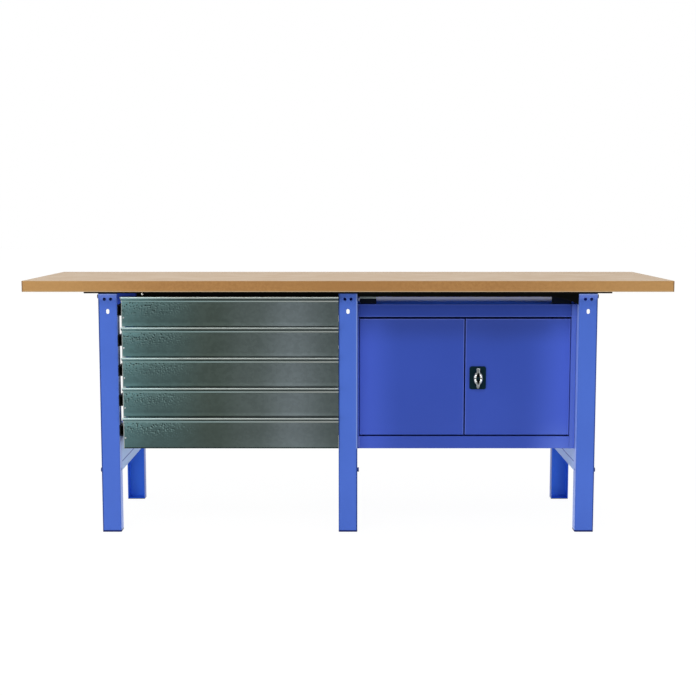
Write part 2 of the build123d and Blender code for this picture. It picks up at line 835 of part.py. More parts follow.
for name, left, pivot_x in (
    ("left_door", left_door_left, left_pivot_x),
    ("right_door", right_door_left, right_pivot_x),
):
    with BuildPart() as door:
        with BuildSketch(along(door_back)):
            with Locations((left, door_bottom_z)):
                Rectangle(door_width, door_height, align=(Align.MIN, Align.MIN))
        extrude(amount=door_depth)
        front_edges = door.faces().sort_by(Axis.Y)[0].edges()
        fillet(front_edges, radius=door_corner)
        offset(amount=-door_sheet, openings=door.faces().sort_by(Axis.Y)[-1])
        with BuildSketch(along(door_back)):
            with Locations((left + door_width / 2, door_bottom_z + door_height / 2)):
                Rectangle(door_width, door_height)
                Rectangle(door_width - 2 * door_return, door_height - 2 * door_return, mode=Mode.SUBTRACT)
        extrude(amount=door_sheet)
        with BuildSketch(Plane.XY.offset(door_bottom_z)):
            with Locations((pivot_x, pivot_y)):
                Circle(pin_diameter / 2 + pin_clearance)
        extrude(amount=door_height, mode=Mode.SUBTRACT)
        if name == "right_door":
            with BuildSketch(along(cabinet_front)):
                with Locations((lock_x, lock_z)):
                    Circle(spindle_diameter / 2 + spindle_clearance)
            extrude(amount=-door_sheet, mode=Mode.SUBTRACT)
            for rod_x, flange_z in ((upper_rod_x, door_top_z - door_sheet), (lower_rod_x, door_bottom_z)):
                with BuildSketch(Plane.XY.offset(flange_z)):
                    with Locations((rod_x, rod_middle_y)):
                        Rectangle(rod_slot_width, rod_slot_depth)
                extrude(amount=door_sheet, mode=Mode.SUBTRACT)
            for rod_x, guide_z in (
                (upper_rod_x, door_top_z - guide_end_gap - guide_height),
                (lower_rod_x, door_bottom_z + guide_end_gap),
            ):
                with BuildSketch(Plane.XY.offset(guide_z)):
                    with Locations((rod_x, guide_seat)):
                        Rectangle(guide_outer, guide_back - guide_seat, align=(Align.CENTER, Align.MIN))
                        Rectangle(
                            guide_inner,
                            guide_back - guide_wall - guide_seat,
                            align=(Align.CENTER, Align.MIN),
                            mode=Mode.SUBTRACT,
                        )
                extrude(amount=guide_height)
    save(door, name)

# Lock plate
with BuildPart() as lock_plate:
    with BuildSketch(along(cabinet_front)):
        with Locations((lock_x, lock_z)):
            RectangleRounded(lock_plate_width, lock_plate_height, lock_plate_corner)
            Circle(spindle_diameter / 2 + spindle_clearance, mode=Mode.SUBTRACT)
    extrude(amount=lock_plate_thickness)
    plate_rim = lock_plate.faces().sort_by(Axis.Y)[0].outer_wire().edges()
    chamfer(plate_rim, length=lock_plate_bevel)
save(lock_plate, "lock_plate")

# Turn handle: an oval body with two flared arms and a pointed tip, a leaf-shaped well around the lock barrel,
# a boss, and the spindle through the door
handle_arm = handle_length / 2
neck_z = handle_body_length / 4
shoulder_z = handle_arm - handle_tip_length
with BuildPart() as turn_handle:
    with BuildSketch(along(grip_back)) as handle_outline:
        with Locations((lock_x, lock_z)):
            Ellipse(handle_body_width / 2, handle_body_length / 2)
            Polygon(
                (-handle_neck_width / 2, neck_z),
                (-handle_end_width / 2, handle_arm),
                (handle_end_width / 2, handle_arm),
                (handle_neck_width / 2, neck_z),
                align=None,
            )
            Polygon(
                (-handle_neck_width / 2, -neck_z),
                (-handle_end_width / 2, -shoulder_z),
                (handle_end_width / 2, -shoulder_z),
                (handle_neck_width / 2, -neck_z),
                align=None,
            )
        fillet(handle_outline.vertices(), radius=handle_corner)
    extrude(amount=handle_thickness)
    grip_rim = turn_handle.faces().sort_by(Axis.Y)[0].outer_wire().edges()
    fillet(grip_rim, radius=handle_edge)
    with BuildSketch(along(grip_back)):
        with Locations((lock_x, lock_z)):
            Polygon(
                (-handle_end_width / 2, -shoulder_z),
                (-handle_tip_width / 2, -handle_arm),
                (handle_tip_width / 2, -handle_arm),
                (handle_end_width / 2, -shoulder_z),
                align=None,
            )
    extrude(amount=handle_tip_thickness)
    with BuildSketch(along(grip_front)):
        with Locations((lock_x, lock_z)):
            Rectangle(handle_body_width, handle_groove_width)
    extrude(amount=-handle_groove_depth, mode=Mode.SUBTRACT)
    well_bottom = (lock_x, lock_z - well_length / 2)
    well_top = (lock_x, lock_z + well_length / 2)
    with BuildSketch(along(grip_front)):
        with BuildLine():
            SagittaArc(well_bottom, well_top, well_width / 2)
            SagittaArc(well_top, well_bottom, well_width / 2)
        make_face()
    extrude(amount=-well_depth, mode=Mode.SUBTRACT)
    with BuildSketch(along(handle_back)):
        with Locations((lock_x, lock_z)):
            Circle(handle_boss_diameter / 2)
    extrude(amount=handle_boss_height)
    with BuildSketch(along(cam_back)):
        with Locations((lock_x, lock_z)):
            Circle(spindle_diameter / 2)
    extrude(amount=cam_back - handle_back)
    with BuildSketch(along(grip_front)):
        with Locations((lock_x, lock_z)):
            Circle(barrel_diameter / 2 + barrel_clearance)
    extrude(amount=-barrel_depth, mode=Mode.SUBTRACT)
save(turn_handle, "turn_handle")

barrel_front = grip_front + barrel_setback
barrel_back = grip_front + barrel_depth - barrel_clearance
with BuildPart() as lock_barrel:
    with BuildSketch(along(barrel_back)):
        with Locations((lock_x, lock_z)):
            Circle(barrel_diameter / 2)
    extrude(amount=barrel_back - barrel_front)
    with BuildSketch(along(barrel_front)):
        with Locations((lock_x, lock_z)):
            Rectangle(keyway_width, keyway_length)
    extrude(amount=-keyway_depth, mode=Mode.SUBTRACT)
save(lock_barrel, "lock_barrel")

# Lock cam: a disc on the spindle whose two pins drive the rods
with BuildPart() as lock_cam:
    with BuildSketch(along(cam_back)):
        with Locations((lock_x, lock_z)):
            Circle(cam_pin_radius + cam_rim)
            Circle(spindle_diameter / 2, mode=Mode.SUBTRACT)
    extrude(amount=cam_thickness)
    with BuildSketch(along(rod_back + rod_play)):
        with Locations(
            (lock_x + cam_pin_side, lock_z - cam_pin_side),
            (lock_x - cam_pin_side, lock_z + cam_pin_side),
        ):
            Circle(cam_pin_diameter / 2)
    extrude(amount=rod_back + rod_play - cam_back)
save(lock_cam, "lock_cam")

# Lock rods: flat bars with a slotted head around a cam pin
for name, rod_x, slot_z, tip_z in (
    ("upper_lock_rod", upper_rod_x, lock_z - cam_pin_side, door_top_z - rod_end_gap),
    ("lower_lock_rod", lower_rod_x, lock_z + cam_pin_side, door_bottom_z + rod_end_gap),
):
    with BuildPart() as lock_rod:
        with BuildSketch(along(rod_back)):
            with Locations((rod_x, slot_z)):
                Rectangle(rod_head_width, rod_head_height)
            with Locations((rod_x, (slot_z + tip_z) / 2)):
                Rectangle(rod_width, abs(tip_z - slot_z))
            with Locations((rod_x, slot_z)):
                SlotOverall(cam_slot_length, cam_slot_height, mode=Mode.SUBTRACT)
        extrude(amount=rod_thickness)
    save(lock_rod, name)
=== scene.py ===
"""Workbench with drawers: finishes, small fittings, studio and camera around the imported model.

Everything is in metres in the part's own frame: +X to the right, +Y to the back, +Z up.
"""

import json
import logging
import math
from abc import ABC, abstractmethod
from dataclasses import dataclass, field
from enum import Enum
from functools import cached_property
from typing import Any, Iterable

import bmesh
import bpy
from mathutils import Matrix, Vector

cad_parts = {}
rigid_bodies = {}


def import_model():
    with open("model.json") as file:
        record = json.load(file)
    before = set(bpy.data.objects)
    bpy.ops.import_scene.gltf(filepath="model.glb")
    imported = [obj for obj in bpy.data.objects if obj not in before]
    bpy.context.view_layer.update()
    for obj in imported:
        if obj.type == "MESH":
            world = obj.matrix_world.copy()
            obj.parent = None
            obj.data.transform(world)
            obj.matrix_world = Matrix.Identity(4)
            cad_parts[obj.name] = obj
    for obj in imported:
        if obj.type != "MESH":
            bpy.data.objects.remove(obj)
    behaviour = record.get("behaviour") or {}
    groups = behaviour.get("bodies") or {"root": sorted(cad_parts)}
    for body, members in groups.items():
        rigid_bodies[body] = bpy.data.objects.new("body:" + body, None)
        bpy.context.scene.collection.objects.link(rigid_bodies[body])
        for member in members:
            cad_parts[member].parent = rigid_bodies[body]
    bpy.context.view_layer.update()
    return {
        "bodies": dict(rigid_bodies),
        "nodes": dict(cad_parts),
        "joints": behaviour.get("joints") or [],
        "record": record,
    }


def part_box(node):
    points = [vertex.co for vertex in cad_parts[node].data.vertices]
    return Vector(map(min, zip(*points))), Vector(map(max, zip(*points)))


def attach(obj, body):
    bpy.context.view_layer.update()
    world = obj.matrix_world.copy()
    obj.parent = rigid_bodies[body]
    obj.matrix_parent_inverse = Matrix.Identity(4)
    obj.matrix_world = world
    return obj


Material = bpy.types.Material
Node = bpy.types.Node
NodeTree = bpy.types.NodeTree
Socket = bpy.types.NodeSocket
Colour = tuple[float, float, float]
Point = tuple[float, float, float]
Span = tuple[float, float]
# Where a range starts and ends, and the results there
Ramp = tuple[float, float, float, float]
# Colours at shares of the way from left to right, of which the first two are the ends
Tones = tuple[tuple[float, Colour], ...]
# A stretch of a drawer front below its top, and its colours from left to right
Band = tuple[Span, Tones]
EVERYWHERE: Span = (-9.0, 9.0)
# Past the edge of one piece but short of the next, and past every edge of the bench
NEARBY = 0.1
BEYOND = 1.0
logger = logging.getLogger("workbench")


class Slot(Enum):
    """Material slots of the record, named for the added fittings."""

    ZINC = "zinc_fasteners"
    CHROME = "handle_chrome"


class Side(Enum):
    """Places of the three leg frames along X."""

    LEFT = "left"
    MIDDLE = "middle"
    RIGHT = "right"

    def node(self, piece: str) -> str:
        """Name of the node of a piece at this place."""
        return f"{self.value}_{piece}"


class Wiring:
    """Adds nodes to a node tree and links them."""

    def __init__(self, tree: NodeTree) -> None:
        """Keep the tree that the nodes go into."""
        self.tree = tree

    def node(self, kind: str, settings: dict[str, Any] | None = None, **inputs: Any) -> Node:
        """Add a node.

        Args:
            kind: Blender's name of the node type.
            settings: Attributes of the node itself, such as its operation.
            inputs: Values or output sockets for its inputs, by name, with spaces written as underscores.

        Returns:
            The new node.
        """
        made = self.tree.nodes.new(kind)
        for name, value in (settings or {}).items():
            setattr(made, name, value)
        for name, value in inputs.items():
            self.feed(made.inputs[name.replace("_", " ")], value)
        return made

    def feed(self, socket: Socket, value: Any) -> None:
        """Link an output socket to an input, or set the input's value.

        Args:
            socket: The input.
            value: An output socket, a number or a colour.
        """
        if isinstance(value, Socket):
            self.tree.links.new(value, socket)
        elif isinstance(value, tuple) and socket.type == "RGBA":
            socket.default_value = (*value, 1.0)
        else:
            socket.default_value = value

    def row(self, kind: str, settings: dict[str, Any], *values: Any) -> Socket:
        """Add a node and fill its inputs in their order.

        Args:
            kind: Blender's name of the node type.
            settings: Attributes of the node itself.
            values: Values or output sockets.

        Returns:
            The node's first output.
        """
        made = self.node(kind, settings)
        for socket, value in zip(made.inputs, values):
            self.feed(socket, value)
        return made.outputs[0]

    def math(self, operation: str, first: Any, second: Any = 0.0, clamp: bool = False) -> Socket:
        """Combine two values by one of Blender's operations."""
        return self.row("ShaderNodeMath", {"operation": operation, "use_clamp": clamp}, first, second)

    def times(self, first: Any, second: Any) -> Socket:
        """Multiply two values."""
        return self.math("MULTIPLY", first, second)

    def plus(self, first: Any, second: Any) -> Socket:
        """Add two values."""
        return self.math("ADD", first, second)

    def minus(self, first: Any, second: Any) -> Socket:
        """Take the second value from the first."""
        return self.math("SUBTRACT", first, second)

    def ramp(self, value: Any, low: Any, high: Any, start: float = 0.0, end: float = 1.0) -> Socket:
        """Map a value smoothly from the range of low to high onto the range of start to end."""
        smooth = {"interpolation_type": "SMOOTHSTEP"}
        return self.row("ShaderNodeMapRange", smooth, value, low, high, start, end)

    def noise(self, place: Any, **inputs: Any) -> Socket:
        """Add a noise texture at a place and give its value, from 0 to 1."""
        return self.node("ShaderNodeTexNoise", Vector=place, **inputs).outputs["Fac"]

    def mix(self, factor: Any, first: Any, second: Any) -> Socket:
        """Mix two colours.

        Args:
            factor: How much of the second colour is used.
            first: The first colour.
            second: The second colour.

        Returns:
            The socket with the mixed colour.
        """
        made = self.node("ShaderNodeMix", {"data_type": "RGBA"})
        for index, value in ((0, factor), (6, first), (7, second)):
            self.feed(made.inputs[index], value)
        return made.outputs[2]

    def scale(self, colour: Any, factor: Any) -> Socket:
        """Multiply a colour by a number."""
        made = self.node("ShaderNodeVectorMath", {"operation": "SCALE"}, Vector=colour, Scale=factor)
        return made.outputs[0]

    def colour_ramp(self, value: Any, tones: Tones) -> Socket:
        """Pick a colour along a row of tones.

        Args:
            value: Where to look, from 0 to 1.
            tones: The colours and their positions.

        Returns:
            The socket with the colour.
        """
        made = self.node("ShaderNodeValToRGB", Fac=value)
        made.color_ramp.interpolation = "EASE"
        elements = made.color_ramp.elements
        for index, (position, colour) in enumerate(tones):
            element = elements[index] if index < 2 else elements.new(position)
            element.position = position
            element.color = (*colour, 1.0)
        return made.outputs[0]


class SurfaceEffects:
    """Shader node groups that several finishes share, each built once."""

    cloud_range: Span = (0.3, 0.7)
    coarse_scale: float = 0.2
    edge_turn: Span = (0.985, 0.8)
    patch_range: Ramp = (0.35, 0.65, 0.35, 1.0)

    def __init__(self) -> None:
        """Build every group."""
        self.mottle = self._build_mottle()
        self.grain = self._build_grain()
        self.edge_wear = self._build_edge_rub_and_shading()
        self.zone = self._build_zone()

    @staticmethod
    def _start(
        name: str, output: str, **inputs: float | None
    ) -> tuple[NodeTree, Wiring, bpy.types.NodeOutputs, Socket]:
        """Make an empty group with its sockets.

        Args:
            name: Name of the group.
            output: Name of its output, which is a number.
            inputs: Its inputs, with spaces written as underscores, each with its default, or with None
                where it is a vector.

        Returns:
            The group, its wiring, its inputs by name and its output.
        """
        group = bpy.data.node_groups.new(name, "ShaderNodeTree")
        for label, default in inputs.items():
            kind = "NodeSocketVector" if default is None else "NodeSocketFloat"
            title = label.replace("_", " ")
            socket = group.interface.new_socket(title, in_out="INPUT", socket_type=kind)
            if default is not None:
                socket.default_value = default
        group.interface.new_socket(output, in_out="OUTPUT", socket_type="NodeSocketFloat")
        wiring = Wiring(group)
        given, result = wiring.node("NodeGroupInput").outputs, wiring.node("NodeGroupOutput").inputs[0]
        return group, wiring, given, result

    def _build_mottle(self) -> NodeTree:
        """Build soft clouds of lighter and darker coat.

        Returns:
            The group, with a mask from 0 to 1.
        """
        group, wiring, given, mask = self._start(
            "coat_mottle", "Mask", Vector=None, Scale=6.0, Detail=3.0
        )
        cloud = wiring.noise(
            given["Vector"], Scale=given["Scale"], Detail=given["Detail"], Roughness=0.55
        )
        wiring.feed(mask, wiring.ramp(cloud, *self.cloud_range))
        return group

    def _build_grain(self) -> NodeTree:
        """Build a fine skin such as sprayed powder, dipped zinc or moulded plastic has.

        Returns:
            The group, with a height of about 0 to 1.
        """
        group, wiring, given, height = self._start(
            "fine_grain", "Height", Vector=None, Scale=900.0, Coarse_share=0.3
        )
        fine = wiring.noise(given["Vector"], Scale=given["Scale"], Detail=2.0)
        wide_scale = wiring.times(given["Scale"], self.coarse_scale)
        wide = wiring.noise(given["Vector"], Scale=wide_scale, Detail=1.0)
        wiring.feed(height, wiring.plus(fine, wiring.times(wide, given["Coarse share"])))
        return group

    def _build_edge_rub_and_shading(self) -> NodeTree:
        """Build the thin line along bends and cut edges, for rubbed coat and for painted highlight and
        shade.

        Returns:
            The group, with a mask from 0 to 1.
        """
        group, wiring, given, mask = self._start(
            "edge_wear", "Mask", Vector=None, Radius=0.0015, Patchiness=60.0
        )
        surface = wiring.node("ShaderNodeNewGeometry")
        rounded = wiring.node("ShaderNodeBevel", {"samples": 4}, Radius=given["Radius"])
        turned = wiring.node("ShaderNodeVectorMath", {"operation": "DOT_PRODUCT"})
        for index, made in enumerate((surface, rounded)):
            wiring.feed(turned.inputs[index], made.outputs["Normal"])
        edge = wiring.ramp(turned.outputs["Value"], *self.edge_turn)
        patches = wiring.noise(given["Vector"], Scale=given["Patchiness"], Detail=2.0)
        kept = wiring.ramp(patches, *self.patch_range)
        wiring.feed(mask, wiring.math("MULTIPLY", edge, kept, clamp=True))
        return group

    def _build_zone(self) -> NodeTree:
        """Build a stretch along one axis with soft ends.

        Returns:
            The group, with a mask that is 1 between the two ends.
        """
        group, wiring, given, mask = self._start(
            "zone_mask", "Mask", Value=0.0, Low=0.0, High=1.0, Softness=0.001
        )
        value, low, high, soft = (given[name] for name in ("Value", "Low", "High", "Softness"))
        above = wiring.ramp(value, wiring.minus(low, soft), wiring.plus(low, soft))
        below = wiring.ramp(value, wiring.minus(high, soft), wiring.plus(high, soft), 1.0, 0.0)
        wiring.feed(mask, wiring.times(above, below))
        return group


@dataclass(frozen=True)
class Zone:
    """A stretch of a surface that has another tint, such as painted light on a bend or a darker foot."""

    colour: Colour
    strength: float = 1.0
    x: Span = EVERYWHERE
    y: Span = EVERYWHERE
    z: Span = EVERYWHERE
    softness: float = 0.0006


@dataclass(frozen=True)
class Polish:
    """A stretch towards the back over which a coat's roughness falls to a share of what it was."""

    start: float
    end: float
    share: float


class Recipe(Wiring):
    """The nodes of one material, with its shader and its coordinates in the part's frame."""

    effects: SurfaceEffects

    def __init__(self, name: str) -> None:
        """Make the material with a plain shader.

        Args:
            name: Name of the material.
        """
        self.material = bpy.data.materials.new(name)
        self.material.use_nodes = True
        super().__init__(self.material.node_tree)
        self.shader = self.tree.nodes["Principled BSDF"]
        self.place = self.node("ShaderNodeTexCoord").outputs["Object"]

    @cached_property
    def axes(self) -> bpy.types.NodeOutputs:
        """The coordinates along X, Y and Z, by name."""
        return self.node("ShaderNodeSeparateXYZ", Vector=self.place).outputs

    def put(self, **inputs: Any) -> None:
        """Set or link inputs of the shader, with spaces in their names written as underscores."""
        for name, value in inputs.items():
            self.feed(self.shader.inputs[name.replace("_", " ")], value)

    def effect(self, group: NodeTree, **inputs: Any) -> Socket:
        """Place a shared effect and give its output."""
        return self.node("ShaderNodeGroup", {"node_tree": group}, **inputs).outputs[0]

    def clouds(self, scale: float, detail: float) -> Socket:
        """Soft clouds over the surface, from 0 to 1."""
        return self.effect(self.effects.mottle, Vector=self.place, Scale=scale, Detail=detail)

    def skin(self, scale: float, coarse_share: float) -> Socket:
        """Height of a fine skin over the surface."""
        return self.effect(self.effects.grain, Vector=self.place, Scale=scale, Coarse_share=coarse_share)

    def edges(self, radius: float, patchiness: float) -> Socket:
        """Lines along bends and cut edges, from 0 to 1, for rubbed coat and painted highlight and shade.
        """
        rub_and_shading = self.effects.edge_wear
        return self.effect(rub_and_shading, Vector=self.place, Radius=radius, Patchiness=patchiness)

    def stretch(self, value: Socket, span: Span, softness: float) -> Socket:
        """Mask of a stretch of a value, with soft ends."""
        return self.effect(self.effects.zone, Value=value, Low=span[0], High=span[1], Softness=softness)

    def tint(self, coat: Socket, zones: Iterable[Zone]) -> Socket:
        """Lay tinted zones over a coat.

        Args:
            coat: The colour below the zones.
            zones: The zones, of which a later one covers an earlier one.

        Returns:
            The socket with the tinted colour.
        """
        for zone in zones:
            cover: Any = zone.strength
            for axis, span in zip("XYZ", (zone.x, zone.y, zone.z)):
                if span != EVERYWHERE:
                    cover = self.times(self.stretch(self.axes[axis], span, zone.softness), cover)
            coat = self.mix(cover, coat, zone.colour)
        return coat

    def emboss(self, height: Socket, depth: float, strength: float) -> None:
        """Raise the surface by a height, of which 1 measures the depth in metres."""
        bump = self.node("ShaderNodeBump", Height=height, Distance=depth, Strength=strength)
        self.put(Normal=bump.outputs["Normal"])


@dataclass(frozen=True)
class Finish(ABC):
    """A finish that any number of nodes can take."""

    name: str

    def material(self) -> Material:
        """Build the finish.

        Returns:
            The finished material.
        """
        make = Recipe(self.name)
        self.paint(make)
        return make.material

    @abstractmethod
    def paint(self, make: Recipe) -> None:
        """Add the finish's own nodes to its material."""


@dataclass(frozen=True)
class PowderCoat(Finish):
    """Powder coat on folded steel, with tinted zones and edges, some of them painted light and shade."""

    colour: Colour
    edge_colour: Colour
    roughness: float = 0.3
    gloss_spread: float = 0.015
    specular: float = 0.4
    unevenness: float = 0.03
    cloud_scale: float = 4.0
    edge_share: float = 0.4
    edge_radius: float = 0.002
    edge_patches: float = 45.0
    zones: tuple[Zone, ...] = ()
    sheen: float = 0.0
    sheen_roughness: float = 0.25
    sheen_tint: Colour = (1.0, 1.0, 1.0)
    peel_scale: float = 700.0
    peel_depth: float = 0.0003
    peel_strength: float = 0.04
    polish: tuple[Polish, ...] = ()

    def paint(self, make: Recipe) -> None:
        """Add a slightly uneven coat, its tinted zones, its tinted edges and its orange peel.

        Args:
            make: Nodes of the material.
        """
        clouds = make.clouds(self.cloud_scale, detail=1.0)
        dark = tuple(part * (1.0 - self.unevenness) for part in self.colour)
        light = tuple(min(1.0, part * (1.0 + self.unevenness)) for part in self.colour)
        coat = make.tint(make.mix(clouds, dark, light), self.zones)
        # edge lines in the edge colour: rubbed coat on some finishes, painted highlights and painted
        # shade on the bends of others
        edge_tint = make.times(make.edges(self.edge_radius, self.edge_patches), self.edge_share)
        smooth, rough = self.roughness - self.gloss_spread, self.roughness + self.gloss_spread
        gloss = make.ramp(clouds, 0.0, 1.0, smooth, rough)
        for step in self.polish:
            gloss = make.times(gloss, make.ramp(make.axes["Y"], step.start, step.end, 1.0, step.share))
        make.put(
            Base_Color=make.mix(edge_tint, coat, self.edge_colour), Roughness=gloss,
            Specular_IOR_Level=self.specular, Sheen_Weight=self.sheen,
            Sheen_Roughness=self.sheen_roughness, Sheen_Tint=self.sheen_tint,
        )
        make.emboss(make.skin(self.peel_scale, coarse_share=0.6), self.peel_depth, self.peel_strength)


@dataclass(frozen=True)
class GalvanisedSheet(Finish):
    """Zinc-dipped sheet with its spangle, and tones that change from left to right."""

    tones: Tones
    left: float
    right: float
    bright_edge: Colour = (0.6, 0.64, 0.62)
    speck_colour: Colour = (0.02, 0.035, 0.033)
    spangle_scale: float = 110.0
    flake_range: Span = (0.955, 1.045)
    cloud_scale: float = 9.0
    cloudiness: float = 0.02
    metal: float = 0.85
    gloss: Span = (0.335, 0.385)
    edge_radius: float = 0.0008
    edge_patches: float = 30.0
    rubbing: float = 0.7
    skin_scale: float = 420.0
    skin_depth: float = 0.0002
    skin_strength: float = 0.04

    def zinc_tones(self, make: Recipe) -> tuple[Socket, Socket, Socket]:
        """Mix the zinc's colour from its tones along X, spangle and clouds.

        Args:
            make: Nodes of the material.

        Returns:
            The colour, the share of the way from left to right, and the shade of each flake.
        """
        along = make.row("ShaderNodeMapRange", {}, make.axes["X"], self.left, self.right, 0.0, 1.0)
        spangle = make.node(
            "ShaderNodeTexVoronoi", Vector=make.place, Scale=self.spangle_scale, Randomness=1.0
        )
        flake = make.node("ShaderNodeSeparateColor", Color=spangle.outputs["Color"]).outputs[0]
        shade = make.ramp(flake, 0.0, 1.0, *self.flake_range)
        flaked = make.scale(make.colour_ramp(along, self.tones), shade)
        haze = make.times(make.clouds(self.cloud_scale, detail=3.0), self.cloudiness)
        return make.mix(haze, flaked, self.speck_colour), along, flake

    def close(self, make: Recipe, zinc: Socket, flake: Socket, rubbing: Any) -> None:
        """Add bright edges, gloss and skin, and feed the shader.

        Args:
            make: Nodes of the material.
            zinc: The colour.
            flake: The shade of each flake.
            rubbing: How bright the edges are rubbed, from 0 to 1.
        """
        edge_tint = make.times(make.edges(self.edge_radius, self.edge_patches), rubbing)
        make.put(
            Base_Color=make.mix(edge_tint, zinc, self.bright_edge), Metallic=self.metal,
            Roughness=make.ramp(flake, 0.0, 1.0, *self.gloss),
        )
        make.emboss(make.skin(self.skin_scale, coarse_share=0.05), self.skin_depth, self.skin_strength)

    def paint(self, make: Recipe) -> None:
        """Add the tones and the rubbed edges.

        Args:
            make: Nodes of the material.
        """
        zinc, _, flake = self.zinc_tones(make)
        self.close(make, zinc, flake, self.rubbing)


@dataclass(frozen=True)
class DrawerZinc(GalvanisedSheet):
    """Zinc of the drawer fronts: painted highlights and shade on the lip, and dark specks below it at
    the left.

    The bands and the ramps crest, base and speck_fall run down from the top of a front, in metres.
    The ramps slope, crest_along and speck_reach run from left to right, as shares of a front's width.
    The two ramps of dimming count fronts down from the top of the first.
    """

    fronts: int = 5
    lip_top: float = 0.0
    pitch: float = 0.1
    panel_face: float = 0.0
    bottom: float = 0.0
    lip_rise: float = 0.002
    # painted light and shade: across each front, down the stack, below the lip and at the foot
    slope: Ramp = (0.0, 0.7, 0.3, -0.2)
    dimming: tuple[Ramp, ...] = ((4.6, 0.0, 0.86, 1.0), (4.7, 3.2, 0.85, 1.0))
    crest: Ramp = (0.018, 0.045, 1.0, 0.0)
    crest_along: Ramp = (0.0, 0.45, 0.5, 0.1)
    base: Ramp = (0.08, 0.097, 0.0, 0.6)
    specks: float = 0.95
    speck_scale: float = 180.0
    speck_range: Span = (0.55, 0.62)
    speck_fall: Ramp = (0.03, 0.075, 1.0, 0.05)
    speck_reach: Ramp = (0.14, 0.37, 1.0, 0.0)
    flake_colour: Colour = (0.24, 0.38, 0.37)
    flake_shift: float = 0.003
    # painted highlights and shade in bands on the pull lip
    under_lip: Band = (
        (0.005, 0.0128),
        ((0.0, (0.3, 0.44, 0.44)), (1.0, (0.1, 0.125, 0.12)), (0.35, (0.09, 0.122, 0.107))),
    )
    lip_edge: Band = (
        (-0.002, 0.0046),
        ((0.0, (0.54, 0.7, 0.7)), (1.0, (0.38, 0.42, 0.405)), (0.35, (0.45, 0.5, 0.47))),
    )
    lip_line: Band = ((0.0131, 0.0175), ((0.0, (0.2, 0.32, 0.315)), (1.0, (0.33, 0.36, 0.34))))
    band_softness: float = 0.0004
    lip_reach: Span = (0.0022, 0.003)
    # a stronger painted highlight on the top lip
    top_lip: Span = (0.012, 0.008)
    top_lip_gain: float = 1.3
    # painted shade along the foot of the last front
    dark_foot: float = 0.0047
    foot_share: float = 0.9
    # painted highlight along the left end of the fronts
    bright_end: float = 0.0022
    end_share: float = 0.7
    end_softness: float = 0.0006

    def depth(self, make: Recipe) -> Socket:
        """Find how far each point lies below the top of its own front.

        Args:
            make: Nodes of the material.

        Returns:
            The depth in metres, which goes on to the foot of the taller last front.
        """
        drop = make.plus(make.minus(self.lip_top, make.axes["Z"]), self.lip_rise)
        above = make.math("FLOOR", make.math("DIVIDE", drop, self.pitch))
        passed = make.times(make.math("MINIMUM", above, self.fronts - 1.0), self.pitch)
        return make.minus(drop, make.plus(passed, self.lip_rise))

    def light(self, make: Recipe, along: Socket, depth: Socket) -> Socket:
        """Find the painted light and shade over the height of each front and down the stack.

        Args:
            make: Nodes of the material.
            along: The share of the way from left to right.
            depth: The distance below the top of the front.

        Returns:
            The factor for the colour.
        """
        middle = make.minus(0.5, make.math("DIVIDE", depth, self.pitch))
        level = make.plus(make.times(middle, make.ramp(along, *self.slope)), 1.0)
        for low, high, start, end in self.dimming:
            heights = (self.lip_top - count * self.pitch for count in (low, high))
            level = make.times(level, make.ramp(make.axes["Z"], *heights, start, end))
        crest = make.times(make.ramp(depth, *self.crest), make.ramp(along, *self.crest_along))
        last_top = self.lip_top - (self.fronts - 1) * self.pitch
        not_last = make.ramp(make.axes["Z"], last_top - self.lip_rise, last_top)
        base = make.times(make.ramp(depth, *self.base), not_last)
        return make.plus(level, make.plus(crest, base))

    def speckle(self, make: Recipe, zinc: Socket, along: Socket, depth: Socket) -> Socket:
        """Scatter pale flakes and dark specks over the upper left of each front.

        Args:
            make: Nodes of the material.
            zinc: The colour below the specks.
            along: The share of the way from left to right.
            depth: The distance below the top of the front.

        Returns:
            The speckled colour.
        """
        area = make.times(make.ramp(depth, *self.speck_fall), make.ramp(along, *self.speck_reach))
        area = make.times(area, self.specks)
        for shift, colour in ((self.flake_shift, self.flake_colour), (0.0, self.speck_colour)):
            step = (shift, 0.0, shift)
            moved = make.row("ShaderNodeVectorMath", {"operation": "ADD"}, make.place, step)
            spots = make.noise(moved, Scale=self.speck_scale, Detail=2.0, Roughness=0.55)
            zinc = make.mix(make.times(make.ramp(spots, *self.speck_range), area), zinc, colour)
        return zinc

    def paint(self, make: Recipe) -> None:
        """Add the tones, the specks and the painted light, shade and highlights on faces, lips, foot and
        end.

        Args:
            make: Nodes of the material.
        """
        zinc, along, flake = self.zinc_tones(make)
        depth = self.depth(make)
        # painted light and shade over each front and down the stack
        zinc = make.scale(zinc, self.light(make, along, depth))
        zinc = self.speckle(make, zinc, along, depth)
        # painted highlights and shade in bands on the proud lip, stronger on the top lip
        proud = make.ramp(make.axes["Y"], *(self.panel_face - reach for reach in self.lip_reach))
        upper = (self.lip_top - drop for drop in self.top_lip)
        gain = make.ramp(make.axes["Z"], *upper, 1.0, self.top_lip_gain)
        for span, tones in (self.under_lip, self.lip_edge, self.lip_line):
            cover = make.times(make.stretch(depth, span, self.band_softness), proud)
            zinc = make.mix(cover, zinc, make.scale(make.colour_ramp(along, tones), gain))
        # painted shade along the foot of the last front, where the edges aren't rubbed
        foot = make.stretch(make.axes["Z"], (-BEYOND, self.bottom + self.dark_foot), self.end_softness)
        zinc = make.mix(make.times(foot, self.foot_share), zinc, self.speck_colour)
        # painted highlight along the left end of the fronts
        end = make.stretch(
            make.axes["X"], (self.left - BEYOND, self.left + self.bright_end), self.end_softness
        )
        zinc = make.mix(make.times(end, self.end_share), zinc, self.bright_edge)
        self.close(make, zinc, flake, make.ramp(foot, 0.0, 1.0, self.rubbing, 0.0))


